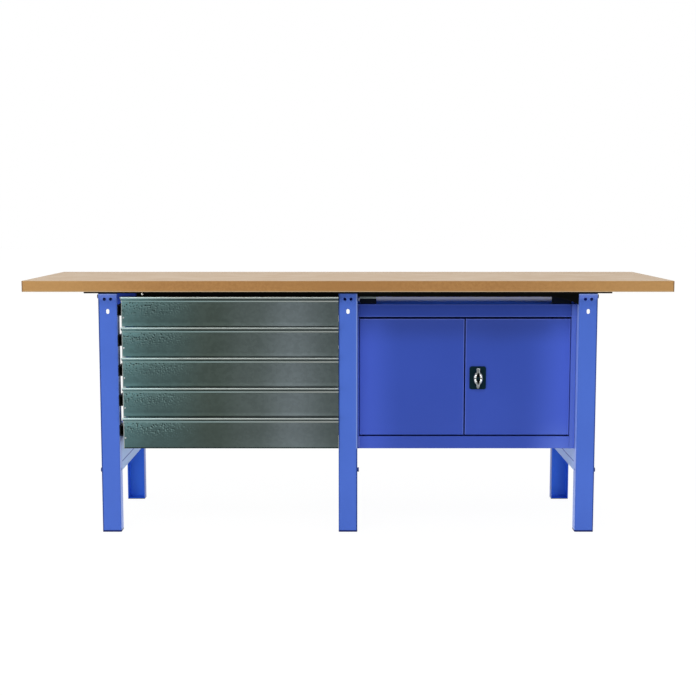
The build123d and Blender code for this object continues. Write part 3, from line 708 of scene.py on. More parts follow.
@dataclass(frozen=True)
class FibreBoard(Finish):
    """Sealed fibreboard: a pale pressed face and a browner cut edge."""

    face: Colour
    face_dark: Colour
    edge: Colour
    edge_dark: Colour
    zones: tuple[Zone, ...] = ()
    streak: Point = (0.35, 3.0, 3.0)
    streak_scale: float = 26.0
    streak_range: Span = (0.35, 0.68)
    streak_share: float = 0.7
    cloud_scale: float = 7.0
    cloud_share: float = 0.3
    fibre_scale: float = 520.0
    fleck_range: Span = (0.7, 1.15)
    edge_tone: float = 0.5
    face_slope: Span = (0.35, 0.8)
    specular: float = 0.3
    gloss: Span = (0.44, 0.6)
    fibre_depth: float = 0.0002
    fibre_strength: float = 0.15

    def paint(self, make: Recipe) -> None:
        """Add streaks and clouds on the faces, flecks and zones on the edges, and a fibrous skin.

        Args:
            make: Nodes of the material.
        """
        drawn = make.node("ShaderNodeMapping", Vector=make.place, Scale=self.streak).outputs["Vector"]
        streaks = make.noise(drawn, Scale=self.streak_scale, Detail=6.0, Roughness=0.6)
        tone = make.times(make.ramp(streaks, *self.streak_range), self.streak_share)
        clouds = make.clouds(self.cloud_scale, detail=4.0)
        tone = make.plus(tone, make.times(clouds, self.cloud_share))
        face = make.mix(tone, self.face, self.face_dark)
        fibre = make.skin(self.fibre_scale, coarse_share=0.8)
        edge = make.mix(make.ramp(fibre, *self.fleck_range), self.edge, self.edge_dark)
        edge = make.mix(make.times(tone, self.edge_tone), edge, self.edge_dark)
        edge = make.tint(edge, self.zones)
        surface = make.node("ShaderNodeNewGeometry")
        normal = make.node("ShaderNodeSeparateXYZ", Vector=surface.outputs["Normal"])
        level = make.ramp(make.math("ABSOLUTE", normal.outputs["Z"]), *self.face_slope)
        make.put(
            Base_Color=make.mix(level, edge, face), Specular_IOR_Level=self.specular,
            Roughness=make.ramp(tone, 0.0, 1.0, *self.gloss),
        )
        make.emboss(fibre, self.fibre_depth, self.fibre_strength)


@dataclass(frozen=True)
class PlatedMetal(Finish):
    """Plated or bare metal of small fittings."""

    colour: Colour
    tarnish: Colour
    roughness: float
    gloss_range: Span = (0.8, 1.25)
    cloud_scale: float = 90.0
    tarnish_share: float = 0.35
    grain_scale: float = 600.0
    grain_depth: float = 0.0001
    grain_strength: float = 0.08

    def plate(self, make: Recipe) -> Socket:
        """Set the gloss and the skin, and mix the colour.

        Args:
            make: Nodes of the material.

        Returns:
            The socket with the colour.
        """
        clouds = make.clouds(self.cloud_scale, detail=4.0)
        smooth, rough = (self.roughness * factor for factor in self.gloss_range)
        make.put(Metallic=1.0, Roughness=make.ramp(clouds, 0.0, 1.0, smooth, rough))
        make.emboss(make.skin(self.grain_scale, coarse_share=0.4), self.grain_depth, self.grain_strength)
        return make.mix(make.times(clouds, self.tarnish_share), self.colour, self.tarnish)

    def paint(self, make: Recipe) -> None:
        """Add the plating."""
        make.put(Base_Color=self.plate(make))


@dataclass(frozen=True)
class HandlePlate(PlatedMetal):
    """Chrome of the turn handle, with a black lacquered leaf-shaped well around the barrel."""

    centre: Point = (0.0, 0.0, 0.0)
    well_half_width: float = 0.0064
    well_half_length: float = 0.0206
    well_depth: float = 0.0006
    lacquer: Colour = (0.004, 0.005, 0.005)

    def paint(self, make: Recipe) -> None:
        """Add the plating and the lacquer.

        Args:
            make: Nodes of the material.
        """
        across = make.math("ABSOLUTE", make.minus(make.axes["X"], self.centre[0]))
        length = make.math("DIVIDE", make.minus(make.axes["Z"], self.centre[2]), self.well_half_length)
        width = make.times(make.minus(1.0, make.times(length, length)), self.well_half_width)
        inside = make.math("LESS_THAN", across, width)
        deep = make.math("GREATER_THAN", make.axes["Y"], self.centre[1] + self.well_depth)
        make.put(Base_Color=make.mix(make.times(inside, deep), self.plate(make), self.lacquer))


@dataclass(frozen=True)
class MouldedPlastic(Finish):
    """Matt moulded plastic with a fine eroded skin."""

    colour: Colour
    rubbed: Colour
    gloss: Span = (0.44, 0.58)
    specular: float = 0.08
    cloud_scale: float = 60.0
    cloud_rub: float = 0.1
    edge_radius: float = 0.0008
    edge_patches: float = 120.0
    edge_rub: float = 0.5
    skin_scale: float = 1600.0
    skin_depth: float = 0.0001
    skin_strength: float = 0.2

    def paint(self, make: Recipe) -> None:
        """Add the plastic, with its rubbed edges and its skin.

        Args:
            make: Nodes of the material.
        """
        clouds = make.clouds(self.cloud_scale, detail=3.0)
        edges = make.times(make.edges(self.edge_radius, self.edge_patches), self.edge_rub)
        rub = make.math("ADD", make.times(clouds, self.cloud_rub), edges, clamp=True)
        make.put(
            Base_Color=make.mix(rub, self.colour, self.rubbed), Specular_IOR_Level=self.specular,
            Roughness=make.ramp(clouds, 0.0, 1.0, *self.gloss),
        )
        make.emboss(make.skin(self.skin_scale, coarse_share=0.5), self.skin_depth, self.skin_strength)


class Palette:
    """The finishes that several sub-assemblies share, each made once."""

    black: Colour = (0.0014, 0.002, 0.0018)
    black_edge: Colour = (0.012, 0.012, 0.013)

    def __init__(self) -> None:
        """Make every shared material."""
        Recipe.effects = SurfaceEffects()
        self.black_coat = self.black_steel("black_coat")
        self.slide_black = PowderCoat(
            "slide_black_coat", (0.0025, 0.0025, 0.003), (0.02, 0.02, 0.02), roughness=0.45,
            specular=0.15,
        ).material()
        self.zinc = PlatedMetal(
            "zinc_plate", (0.56, 0.57, 0.58), (0.36, 0.36, 0.35), roughness=0.32
        ).material()
        self.bright_zinc = PlatedMetal(
            "bright_zinc_plate", (0.9, 0.9, 0.88), (0.7, 0.7, 0.68), roughness=0.3
        ).material()
        self.dark_bolt = PlatedMetal(
            "dark_bolt", (0.008, 0.015, 0.1), (0.006, 0.01, 0.05), roughness=0.4
        ).material()
        self.chrome = PlatedMetal(
            "chrome_plate", (0.93, 0.94, 0.93), (0.8, 0.82, 0.82), roughness=0.09, grain_scale=900.0,
            grain_strength=0.02,
        ).material()
        self.lock_plastic = MouldedPlastic(
            "lock_plastic", (0.0006, 0.0135, 0.021), (0.01, 0.027, 0.034)
        ).material()

    @staticmethod
    def black_steel(
        name: str, colour: Colour = black, edge_colour: Colour = black_edge, **options: Any
    ) -> Material:
        """Make a matt black coat.

        Args:
            name: Name of the material.
            colour: Its colour.
            edge_colour: The colour of its bends.
            options: Other values of the powder coat.

        Returns:
            The material.
        """
        return PowderCoat(name, colour, edge_colour, roughness=0.5, specular=0.04, **options).material()


def add_piece(name: str, mesh: bmesh.types.BMesh) -> bpy.types.Object:
    """Make a smooth object from a mesh in the part's frame.

    Args:
        name: Name of the piece.
        mesh: Its mesh, which is used up.

    Returns:
        The new piece.
    """
    bmesh.ops.remove_doubles(mesh, verts=mesh.verts, dist=1e-6)
    bmesh.ops.recalc_face_normals(mesh, faces=mesh.faces)
    data = bpy.data.meshes.new(name)
    mesh.to_mesh(data)
    mesh.free()
    for polygon in data.polygons:
        polygon.use_smooth = True
    piece = bpy.data.objects.new(name, data)
    bpy.context.scene.collection.objects.link(piece)
    return piece


@dataclass(frozen=True)
class Head:
    """A small round head, turned from a profile, that stands out from a front face.

    The profile goes from the seat to the crown, as shares of the radius and of the height.
    """

    radius: float
    height: float
    profile: tuple[Span, ...]
    stretch: float = 1.0
    steps: int = 24

    def turn(self, name: str, seat: Vector) -> bpy.types.Object:
        """Make one such head.

        Args:
            name: Name of the piece.
            seat: The middle of its seat.

        Returns:
            The new piece.
        """
        mesh = bmesh.new()
        points = [mesh.verts.new((self.radius * out, 0.0, self.height * up)) for out, up in self.profile]
        edges = [mesh.edges.new(pair) for pair in zip(points, points[1:])]
        bmesh.ops.spin(
            mesh, geom=points + edges, axis=(0, 0, 1), cent=(0, 0, 0), angle=math.tau, steps=self.steps
        )
        forward = Vector((0, -1, 0)).to_track_quat("Z", "Y").to_matrix().to_4x4()
        stretched = Matrix.Diagonal((1.0, self.stretch, 1.0, 1.0))
        place = Matrix.Translation(seat) @ forward @ stretched
        bmesh.ops.transform(mesh, matrix=place, verts=mesh.verts)
        return add_piece(name, mesh)


@dataclass
class Assembly(ABC):
    """A sub-assembly of the bench, with the loaded frame and the shared finishes."""

    frame: dict[str, Any]
    palette: Palette

    @abstractmethod
    def dress(self) -> None:
        """Finish the nodes of the sub-assembly."""

    def build(self) -> None:
        """Add its small fittings, where it has any."""

    def apply(self, finish: Material, *names: str) -> None:
        """Give carried-over nodes their finish.

        Args:
            finish: The finish.
            names: Names of the nodes.
        """
        for name in names:
            mesh = self.frame["nodes"][name].data
            mesh.materials.clear()
            mesh.materials.append(finish)
            logger.info("dressed %s with %s", name, finish.name)

    @staticmethod
    def attach(piece: bpy.types.Object, body: str, slot: Slot, finish: Material) -> None:
        """Finish a new piece and let it ride on a body.

        Args:
            piece: The piece, in place.
            body: Name of the body that carries it.
            slot: The record's slot that its finish belongs to; not used.
            finish: Its finish.
        """
        piece.data.materials.append(finish)
        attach(piece, body)
        logger.info("added %s on %s", piece.name, body)


@dataclass
class Worktop(Assembly):
    """The board, its bearer rails and its screws."""

    face: Colour = (0.57, 0.42, 0.272)
    face_dark: Colour = (0.5, 0.35, 0.213)
    edge: Colour = (0.4, 0.203, 0.064)
    edge_dark: Colour = (0.33, 0.16, 0.046)
    pale_edge: Colour = (0.5, 0.285, 0.1)
    sealed_edge: Colour = (0.5, 0.36, 0.2)
    dark_arris: Colour = (0.2, 0.11, 0.05)
    dark_middle: Span = (-0.12, 0.13)
    pale_left: float = 0.28
    pale_right: float = 0.3
    seal_height: float = 0.0032
    arris: float = 0.0045
    arris_depth: float = 0.002

    def board(self) -> Material:
        """Make the board's finish: paler towards its ends, with a sealed lower arris.

        Returns:
            The material.
        """
        low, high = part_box("worktop")
        left_end = (low.x - BEYOND, low.x + self.pale_left)
        right_end = (high.x - self.pale_right, high.x + BEYOND)
        corners = ((low.x - NEARBY, low.x + self.arris), (high.x - self.arris, high.x + NEARBY))
        front = (low.y - NEARBY, low.y + self.arris_depth)
        sealed = (low.z - NEARBY, low.z + self.seal_height)
        zones = (
            Zone(self.edge_dark, strength=0.85, x=self.dark_middle, softness=0.18),
            Zone(self.pale_edge, strength=0.6, x=left_end, softness=0.24),
            Zone(self.pale_edge, strength=0.55, x=right_end, softness=0.3),
            Zone(self.sealed_edge, strength=0.8, z=sealed, softness=0.0012),
            *(Zone(self.dark_arris, strength=0.75, x=span, y=front) for span in corners),
        )
        board = FibreBoard("fibre_board", self.face, self.face_dark, self.edge, self.edge_dark, zones)
        return board.material()

    def dress(self) -> None:
        """Finish the board and what it lies on.

        The rails are black steel and the screws are zinc plated.
        """
        self.apply(self.board(), "worktop")
        self.apply(self.palette.black_coat, "front_rail", "rear_rail")
        self.apply(self.palette.zinc, "worktop_screws")


@dataclass
class LegFrames(Assembly):
    """The three leg frames, the beams and stringers between them, and their bolts."""

    front_blue: Colour = (0.071, 0.15, 0.57)
    # painted light inside the rear legs' channels
    rear_blue: Colour = (0.056, 0.218, 0.86)
    # painted shade on the legs' bends and edges
    bend_blue: Colour = (0.016, 0.045, 0.22)
    # painted light inside the top crossbars, seen through the legs' holes
    hollow_blue: Colour = (0.03, 0.1, 1.0)
    lit_blue: Colour = (0.36, 0.5, 1.0)
    # painted light on the lower crossbars' faces towards the bays
    bar_blue: Colour = (0.42, 0.61, 1.0)
    # painted light on the tops of the outer front legs, under the board
    top_blue: Colour = (0.16, 0.27, 0.88)
    end_blue: Colour = (0.02, 0.05, 0.34)
    dark_foot_blue: Colour = (0.012, 0.02, 0.12)
    # painted highlight on the rim of the outer front legs' tops
    rim_blue: Colour = (0.285, 0.42, 0.96)
    shadow_blue: Colour = (0.03, 0.053, 0.158)
    # painted highlight along the right beam's edges
    beam_edge: Colour = (0.22, 0.2, 0.24)
    wall: float = 0.001
    rim: Span = (0.0024, 0.0057)
    rim_softness: float = 0.0005
    top_from: float = 0.774
    bend_width: float = 0.0044
    bend_shade: float = 0.85
    middle_shade: float = 0.35
    lit_width: float = 0.0006
    lit_share: float = 0.8
    lit_softness: float = 0.0003
    middle_lit_from: float = 0.28
    middle_lit_share: float = 0.5
    foot_height: float = 0.006
    rear_foot_height: float = 0.0025
    bar_step: float = 0.0045
    fold_rise: float = 0.032
    fold_half: float = 0.0025
    painted_end: float = -0.689
    screw_place: Span = (-0.669, 0.7895)
    screw: Head = Head(
        radius=0.0036,
        height=0.0026,
        profile=(
            (1.0, 0.0), (1.0, 0.35), (0.8, 0.8), (0.45, 1.0), (0.3, 0.98), (0.24, 0.45), (0.0, 0.4),
        ),
        stretch=1.7,
    )

    def foot(self, height: float) -> Zone:
        """Darker line round the foot of a leg, up to the given height."""
        return Zone(self.dark_foot_blue, strength=0.97, z=(-NEARBY, height), softness=0.0008)

    def bar_shades(self) -> tuple[Zone, ...]:
        """Tints of the lower crossbars: painted light towards the bays, painted shade along the fold.

        Returns:
            The zones.
        """
        left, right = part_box("left_lower_crossbar"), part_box("right_lower_crossbar")
        fold = left[0].z + self.fold_rise
        return (
            Zone(self.bar_blue, x=(left[1].x - self.bar_step, left[1].x + NEARBY)),
            Zone(self.bar_blue, x=(right[0].x - NEARBY, right[0].x + self.bar_step)),
            Zone(self.front_blue, z=(fold - self.fold_half, fold + self.fold_half), softness=0.001),
        )

    def channel_shades(self) -> tuple[Zone, ...]:
        """Tints of the rear legs: painted light, a livelier blue inside their channels.

        Returns:
            The zones.
        """
        boxes = [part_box(side.node("rear_leg")) for side in Side]
        return tuple(
            Zone(
                self.rear_blue, x=(low.x + self.wall, high.x - self.wall),
                y=(low.y - NEARBY, high.y - self.wall),
            )
            for low, high in boxes
        )

    def hollow_shades(self) -> tuple[Zone, ...]:
        """Tints of the top crossbars: painted light in deep blue inside, seen through the legs' holes.

        Returns:
            The zones.
        """
        left, middle, right = (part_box(side.node("top_crossbar")) for side in Side)
        spans = [(left[0].x + self.wall, left[1].x + NEARBY)]
        spans.extend((low.x - NEARBY, high.x - self.wall) for low, high in (middle, right))
        return tuple(Zone(self.hollow_blue, x=span) for span in spans)

    def bends(self, side: Side) -> tuple[Zone, ...]:
        """Shaded and lit bends of one front leg.

        Args:
            side: Which leg.

        Returns:
            The zones.
        """
        low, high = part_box(side.node("front_leg"))
        left_end, right_end = low.x - BEYOND, high.x + BEYOND
        left_bend = (left_end, low.x + self.bend_width)
        right_bend = (high.x - self.bend_width, right_end)
        if side is Side.MIDDLE:
            upper = (self.middle_lit_from, BEYOND)
            return (
                Zone(self.bend_blue, self.middle_shade, x=left_bend),
                Zone(self.bend_blue, self.bend_shade, x=right_bend),
                Zone(self.lit_blue, self.middle_lit_share, x=right_bend, z=upper),
            )
        shaded, lit = left_bend, (high.x - self.lit_width, right_end)
        if side is Side.RIGHT:
            shaded, lit = right_bend, (left_end, low.x + self.lit_width)
        return (
            Zone(self.bend_blue, self.bend_shade, x=shaded),
            Zone(self.lit_blue, self.lit_share, x=lit, softness=self.lit_softness),
        )

    def front_leg(self, side: Side) -> Material:
        """Make one front leg's finish, with its painted bends, its painted head below the board and its
        foot.

        Args:
            side: Which leg.

        Returns:
            The material.
        """
        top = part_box(side.node("front_leg"))[1].z
        shadow, lit = top - self.rim[0], top - self.rim[1]
        # painted light on the head, a painted highlight on its rim, a painted shadow under the rail
        head = (
            Zone(self.top_blue, strength=0.9, z=(self.top_from, BEYOND), softness=0.008),
            Zone(self.rim_blue, z=(lit, shadow), softness=self.rim_softness),
            Zone(self.shadow_blue, z=(shadow, top + BEYOND), softness=self.rim_softness),
        )
        if side is Side.MIDDLE:
            head = head[-1:]
        # edge lines in the bend colour: painted shade
        return PowderCoat(
            side.node("leg_blue"), self.front_blue, self.bend_blue, specular=0.06, edge_share=0.6,
            zones=(*self.bends(side), *head, self.foot(self.foot_height)),
        ).material()

    def dress(self) -> None:
        """Finish the steel of the frames.

        The front legs have a finish each, the rear legs and the crossbars share theirs, and the two
        beams differ in their edges and in the painted end of the left one.
        """
        for side in Side:
            self.apply(self.front_leg(side), side.node("front_leg"))
        # rear legs and stringers: painted light inside the channels, painted shade on the bends
        rear_coat = PowderCoat(
            "rear_leg_blue", self.front_blue, self.bend_blue, roughness=0.32, specular=0.12,
            zones=(*self.channel_shades(), self.foot(self.rear_foot_height)),
        ).material()
        self.apply(rear_coat, "rear_stringers", *(side.node("rear_leg") for side in Side))
        # lower crossbars: painted light on the inner faces and painted highlights on the edges
        bar_coat = PowderCoat(
            "crossbar_blue", self.front_blue, self.lit_blue, specular=0.03, edge_share=0.2,
            zones=self.bar_shades(),
        ).material()
        self.apply(bar_coat, *(side.node("lower_crossbar") for side in Side))
        # top crossbars: painted light inside, painted shade on the bends
        hollow_coat = PowderCoat(
            "top_crossbar_blue", self.front_blue, self.bend_blue, roughness=0.5, specular=0.01,
            zones=self.hollow_shades(),
        ).material()
        self.apply(hollow_coat, *(side.node("top_crossbar") for side in Side))
        painted = Zone(self.end_blue, x=(EVERYWHERE[0], self.painted_end), softness=0.004)
        left_beam = self.palette.black_steel("left_beam_black", zones=(painted,))
        self.apply(left_beam, "left_front_beam")
        # the pale edge lines of the right beam are a painted highlight
        right_beam = self.palette.black_steel(
            "right_beam_black", edge_colour=self.beam_edge, edge_share=0.15, edge_radius=0.0022
        )
        self.apply(right_beam, "right_front_beam")
        self.apply(self.palette.dark_bolt, "frame_bolts")

    def build(self) -> None:
        """Add the screw in the face of the left beam."""
        seat = Vector((self.screw_place[0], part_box("left_front_beam")[0].y, self.screw_place[1]))
        self.attach(self.screw.turn("beam_screw", seat), "frame", Slot.ZINC, self.palette.bright_zinc)


@dataclass
class DrawerStack(Assembly):
    """The drawers, their slides and the rivets in their fronts."""

    count: int = 5
    sheet: float = 0.0012
    rivet_inset: float = 0.0062
    rivet_drop: float = 0.069
    rivet: Head = Head(
        radius=0.0028,
        height=0.0014,
        profile=((1.0, 0.0), (1.0, 0.3), (0.75, 0.8), (0.35, 1.0), (0.0, 1.0)),
    )
    # painted reflection: the fronts' tones from left to right
    front_tones: Tones = (
        (0.0, (0.135, 0.26, 0.266)),
        (1.0, (0.12, 0.153, 0.15)),
        (0.16, (0.1, 0.169, 0.165)),
        (0.42, (0.0906, 0.1235, 0.107)),
        (0.6, (0.129, 0.165, 0.157)),
        (0.79, (0.205, 0.25, 0.261)),
    )
    box_tones: Tones = ((0.0, (0.4, 0.43, 0.43)), (1.0, (0.36, 0.39, 0.39)))
    names: list[str] = field(init=False)
    panel_face: float = field(init=False)

    def __post_init__(self) -> None:
        """Name the drawers, and find the plane of their front panels."""
        self.names = [f"drawer_{number}" for number in range(1, self.count + 1)]
        self.panel_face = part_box("drawer_1_box")[0].y - self.sheet

    def dress(self) -> None:
        """Finish the drawers and their slides.

        The fronts share one finish, whose painted light and shade follow their pitch down the stack.
        """
        low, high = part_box("drawer_1_front")
        front = DrawerZinc(
            "drawer_front_zinc", self.front_tones, low.x, high.x, fronts=self.count, lip_top=high.z,
            pitch=high.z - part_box("drawer_2_front")[1].z, panel_face=self.panel_face,
            bottom=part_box(f"{self.names[-1]}_front")[0].z,
        ).material()
        box = GalvanisedSheet(
            "drawer_box_zinc", self.box_tones, low.x, high.x, cloudiness=0.2
        ).material()
        slide = self.palette.slide_black
        for name in self.names:
            self.apply(front, f"{name}_front")
            self.apply(box, f"{name}_box")
            self.apply(slide, f"{name}_runners", f"{name}_slide_middles")
        self.apply(slide, "slide_rails")

    def build(self) -> None:
        """Add the rivet that holds the left end of each front to its box.

        Each rivet rides on its own drawer.
        """
        for name in self.names:
            low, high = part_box(f"{name}_front")
            seat = Vector((low.x + self.rivet_inset, self.panel_face, high.z - self.rivet_drop))
            self.attach(self.rivet.turn(f"{name}_rivet", seat), name, Slot.ZINC, self.palette.zinc)


@dataclass
class Cabinet(Assembly):
    """The cabinet, its doors, shelf and hangers."""

    coat: Colour = (0.034, 0.073, 0.395)
    # painted shade of the board over the upper front, deeper in the middle
    shaded: Colour = (0.029, 0.057, 0.285)
    deep: Colour = (0.023, 0.046, 0.235)
    # painted light towards the sides, on the right stile and on the right side
    outer: Colour = (0.058, 0.111, 0.57)
    stile: Colour = (0.098, 0.168, 0.6)
    lit_edge: Colour = (0.14, 0.2, 0.66)
    # painted shade on the top under the board, painted light farther back, and a painted blue sheen
    under_board: Colour = (0.008, 0.025, 0.16)
    painted_light: Colour = (0.3, 0.45, 1.0)
    painted_light_sheen: Colour = (0.05, 0.17, 1.0)
    hanger_black: Colour = (0.0022, 0.0042, 0.011)
    hanger_fold: Colour = (0.24, 0.28, 0.28)
    fold_drop: Span = (0.0115, 0.0172)
    bend_line: float = 0.0034
    bend_share: float = 0.3
    outer_left: float = 0.08
    outer_right: float = 0.1
    stile_inset: float = 0.002
    base_top: float = 0.318
    shade_from: float = 0.68
    deep_inset: Span = (0.1, 0.09)
    deep_rows: Span = (0.655, 0.705)
    deepest_columns: Span = (0.44, 0.56)
    deepest_rows: Span = (0.64, 0.705)
    top_skin: float = 0.0012
    # where the painted light on the top starts
    painted_light_from: float = -0.09
    rubbed: tuple[Polish, ...] = (
        Polish(start=-0.2, end=-0.05, share=0.245), Polish(start=-0.08, end=0.12, share=0.25),
    )

    def shades(self) -> tuple[Zone, ...]:
        """Tints of the cabinet's front: painted shade below the board, painted light towards its sides.

        Returns:
            The zones.
        """
        low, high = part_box("cabinet_right_side")
        left, right_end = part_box("cabinet_left_side")[0].x, high.x + BEYOND
        left_side = (left - BEYOND, left + self.outer_left)
        right_side = (high.x - self.outer_right, right_end)
        deep = (left + self.deep_inset[0], high.x - self.deep_inset[1])
        return (
            Zone(self.outer, strength=0.8, x=left_side, softness=0.07),
            Zone(self.outer, strength=0.9, x=right_side, softness=0.08),
            Zone(self.stile, strength=0.8, x=right_side, z=(-BEYOND, self.base_top), softness=0.07),
            Zone(self.shaded, strength=0.92, z=(self.shade_from, BEYOND), softness=0.075),
            Zone(self.deep, strength=0.45, x=deep, z=self.deep_rows, softness=0.04),
            Zone(self.deep, strength=0.4, x=self.deepest_columns, z=self.deepest_rows, softness=0.06),
            Zone(self.stile, strength=0.9, x=(low.x + self.stile_inset, right_end)),
            *self.bends(),
        )

    def bends(self) -> tuple[Zone, ...]:
        """Painted highlights along the folded edges of the doors and of the head rail.

        Returns:
            The zones.
        """
        left, right, rail = (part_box(name) for name in ("left_door", "right_door", "cabinet_top"))
        line = self.bend_line
        front, height = (left[0].y - line, left[0].y + line), (left[0].z, left[1].z)
        upright = (
            (left[1].x - line, left[1].x),
            (right[0].x, right[0].x + line),
            (right[1].x - line, right[1].x),
        )
        level = (
            (left[1].z - line, left[1].z),
            (rail[0].z, rail[0].z + line),
            (rail[1].z - line, rail[1].z),
        )
        return (
            *(Zone(self.lit_edge, self.bend_share, x=span, y=front, z=height) for span in upright),
            *(Zone(self.lit_edge, self.bend_share, y=front, z=span) for span in level),
        )

    def top(self) -> Material:
        """Make the finish of the cabinet's top: painted shade under the board, painted light farther
        back.

        Returns:
            The material.
        """
        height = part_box("cabinet_top")[1].z
        upper = (height - self.top_skin, height + BEYOND)
        hidden = (
            # painted shade under the board, then painted light farther back; the sheen is a painted
            # sheen
            Zone(self.under_board, z=upper, softness=0.0002),
            Zone(self.painted_light, y=(self.painted_light_from, BEYOND), z=upper, softness=0.07),
        )
        return PowderCoat(
            "cabinet_top_blue", self.coat, self.lit_edge, specular=0.002, roughness=0.9,
            zones=(*self.shades(), *hidden), sheen=0.85, sheen_tint=self.painted_light_sheen, polish=self.rubbed,
        ).material()

    def hanger(self) -> Material:
        """Make the finish of the hangers, with the lit fold of the left one.

        Returns:
            The material.
        """
        low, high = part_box("cabinet_hangers")
        left_one = (low.x - NEARBY, (low.x + high.x) / 2)
        fold = (high.z - self.fold_drop[1], high.z - self.fold_drop[0])
        lit = Zone(self.hanger_fold, x=left_one, z=fold)
        return self.palette.black_steel("hanger_black", self.hanger_black, zones=(lit,))

    def dress(self) -> None:
        """Finish the cabinet.

        The top has a finish of its own, because it lies in the shadow of the board.
        """
        # the shell's edge lines in the lit edge colour are painted highlights
        shell = PowderCoat(
            "cabinet_blue", self.coat, self.lit_edge, specular=0.18, edge_share=0.7, zones=self.shades()
        ).material()
        sheets = [f"cabinet_{name}" for name in ("left_side", "right_side", "floor", "back", "shelf")]
        self.apply(shell, *sheets, "left_door", "right_door")
        self.apply(self.top(), "cabinet_top")
        self.apply(self.hanger(), "cabinet_hangers")
        self.apply(self.palette.zinc, "cabinet_screws", "shelf_clips")
        self.apply(self.palette.dark_bolt, "door_pivot_pins")


@dataclass
class Lock(Assembly):
    """The turn handle with its plate, barrel, cam and rods, and the crowned pads of the handle."""

    handle_colour: Colour = (0.48, 0.51, 0.5)
    handle_tarnish: Colour = (0.34, 0.37, 0.37)
    pad_low: float = 0.0022
    pad_high: float = 0.0128
    pad_height: float = 0.0024
    pad_gap: float = 0.0005
    crown_power: float = 0.6
    body_half_width: float = 0.0145
    body_half_length: float = 0.022
    rim: float = 0.0018
    well_half_width: float = 0.006
    well_half_length: float = 0.02
    rows: int = 14
    columns: int = 10
    centre: Point = field(init=False)

    def __post_init__(self) -> None:
        """Read the handle's place from the frame."""
        low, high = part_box("turn_handle")
        self.centre = ((low.x + high.x) / 2, low.y, (low.z + high.z) / 2)

    def dress(self) -> None:
        """Finish the lock.

        The plate and the barrel are plastic, the handle is chromed, and the works behind are zinc.
        """
        handle = HandlePlate(
            "handle_plate", self.handle_colour, self.handle_tarnish, roughness=0.2, grain_scale=900.0,
            grain_strength=0.02, centre=self.centre,
        ).material()
        self.apply(handle, "turn_handle")
        self.apply(self.palette.lock_plastic, "lock_plate", "lock_barrel")
        self.apply(self.palette.zinc, "lock_cam", "upper_lock_rod", "lower_lock_rod")

    def pad(self, mesh: bmesh.types.BMesh, across: int, along: int) -> None:
        """Add one crowned pad between the well and the rim of the handle.

        Args:
            mesh: The mesh that takes the pad.
            across: -1 for the left side of the handle, 1 for the right.
            along: -1 for the lower half, 1 for the upper.
        """
        radius = (self.well_half_length**2 + self.well_half_width**2) / (2 * self.well_half_width)
        grid = []
        for row in range(self.rows + 1):
            share = row / self.rows
            z = self.pad_low + share * (self.pad_high - self.pad_low)
            inner = math.sqrt(radius**2 - z**2) - (radius - self.well_half_width) + self.pad_gap
            outer = self.body_half_width * math.sqrt(1.0 - (z / self.body_half_length) ** 2) - self.rim
            line = []
            for column in range(self.columns + 1):
                part = column / self.columns
                crown = (math.sin(math.pi * part) * math.sin(math.pi * share)) ** self.crown_power
                x = inner + part * (outer - inner)
                place = (
                    self.centre[0] + across * x, self.centre[1] - crown * self.pad_height,
                    self.centre[2] + along * z,
                )
                line.append(mesh.verts.new(place))
            grid.append(line)
        for lower, upper in zip(grid, grid[1:]):
            for index in range(self.columns):
                mesh.faces.new((lower[index], lower[index + 1], upper[index + 1], upper[index]))
        right = [line[-1] for line in grid[1:]]
        left = [line[0] for line in reversed(grid[1:-1])]
        mesh.faces.new([*grid[0], *right, *reversed(grid[-1][:-1]), *left])

    def build(self) -> None:
        """Add the four polished pads of the handle.

        They are one piece, which turns with the handle.
        """
        mesh = bmesh.new()
        for across in (-1, 1):
            for along in (-1, 1):
                self.pad(mesh, across, along)
        self.attach(add_piece("handle_pads", mesh), "turn_handle", Slot.CHROME, self.palette.chrome)


@dataclass(frozen=True)
class Viewpoint:
    """The camera that fits the bench's edges in the photograph."""

    image_width: float = 696.0
    focal_length: float = 1253.0
    sensor_width: float = 36.0
    place: Point = (0.0, -4.326, 1.058)
    pitch_down: float = math.radians(6.24)

    def build(self) -> None:
        """Make the scene's camera.

        Its focal length is given in pixels of the photograph.
        """
        data = bpy.data.cameras.new("viewpoint")
        data.sensor_width = self.sensor_width
        data.lens = self.focal_length / self.image_width * self.sensor_width
        camera = bpy.data.objects.new("viewpoint", data)
        camera.location = self.place
        camera.rotation_euler = (math.pi / 2 - self.pitch_down, 0.0, 0.0)
        bpy.context.scene.collection.objects.link(camera)
        bpy.context.scene.camera = camera


@dataclass(frozen=True)
class Lamp:
    """A soft rectangular lamp that faces a point."""

    name: str
    place: Point
    target: Point
    size: Span
    power: float

    def hang(self) -> None:
        """Add the lamp to the scene.

        Its power is in watts.
        """
        data = bpy.data.lights.new(self.name, "AREA")
        data.shape = "RECTANGLE"
        data.size, data.size_y = self.size
        data.energy = self.power
        lamp = bpy.data.objects.new(self.name, data)
        lamp.location = self.place
        aim = Vector(self.target) - Vector(self.place)
        lamp.rotation_euler = aim.to_track_quat("-Z", "Y").to_euler()
        bpy.context.scene.collection.objects.link(lamp)


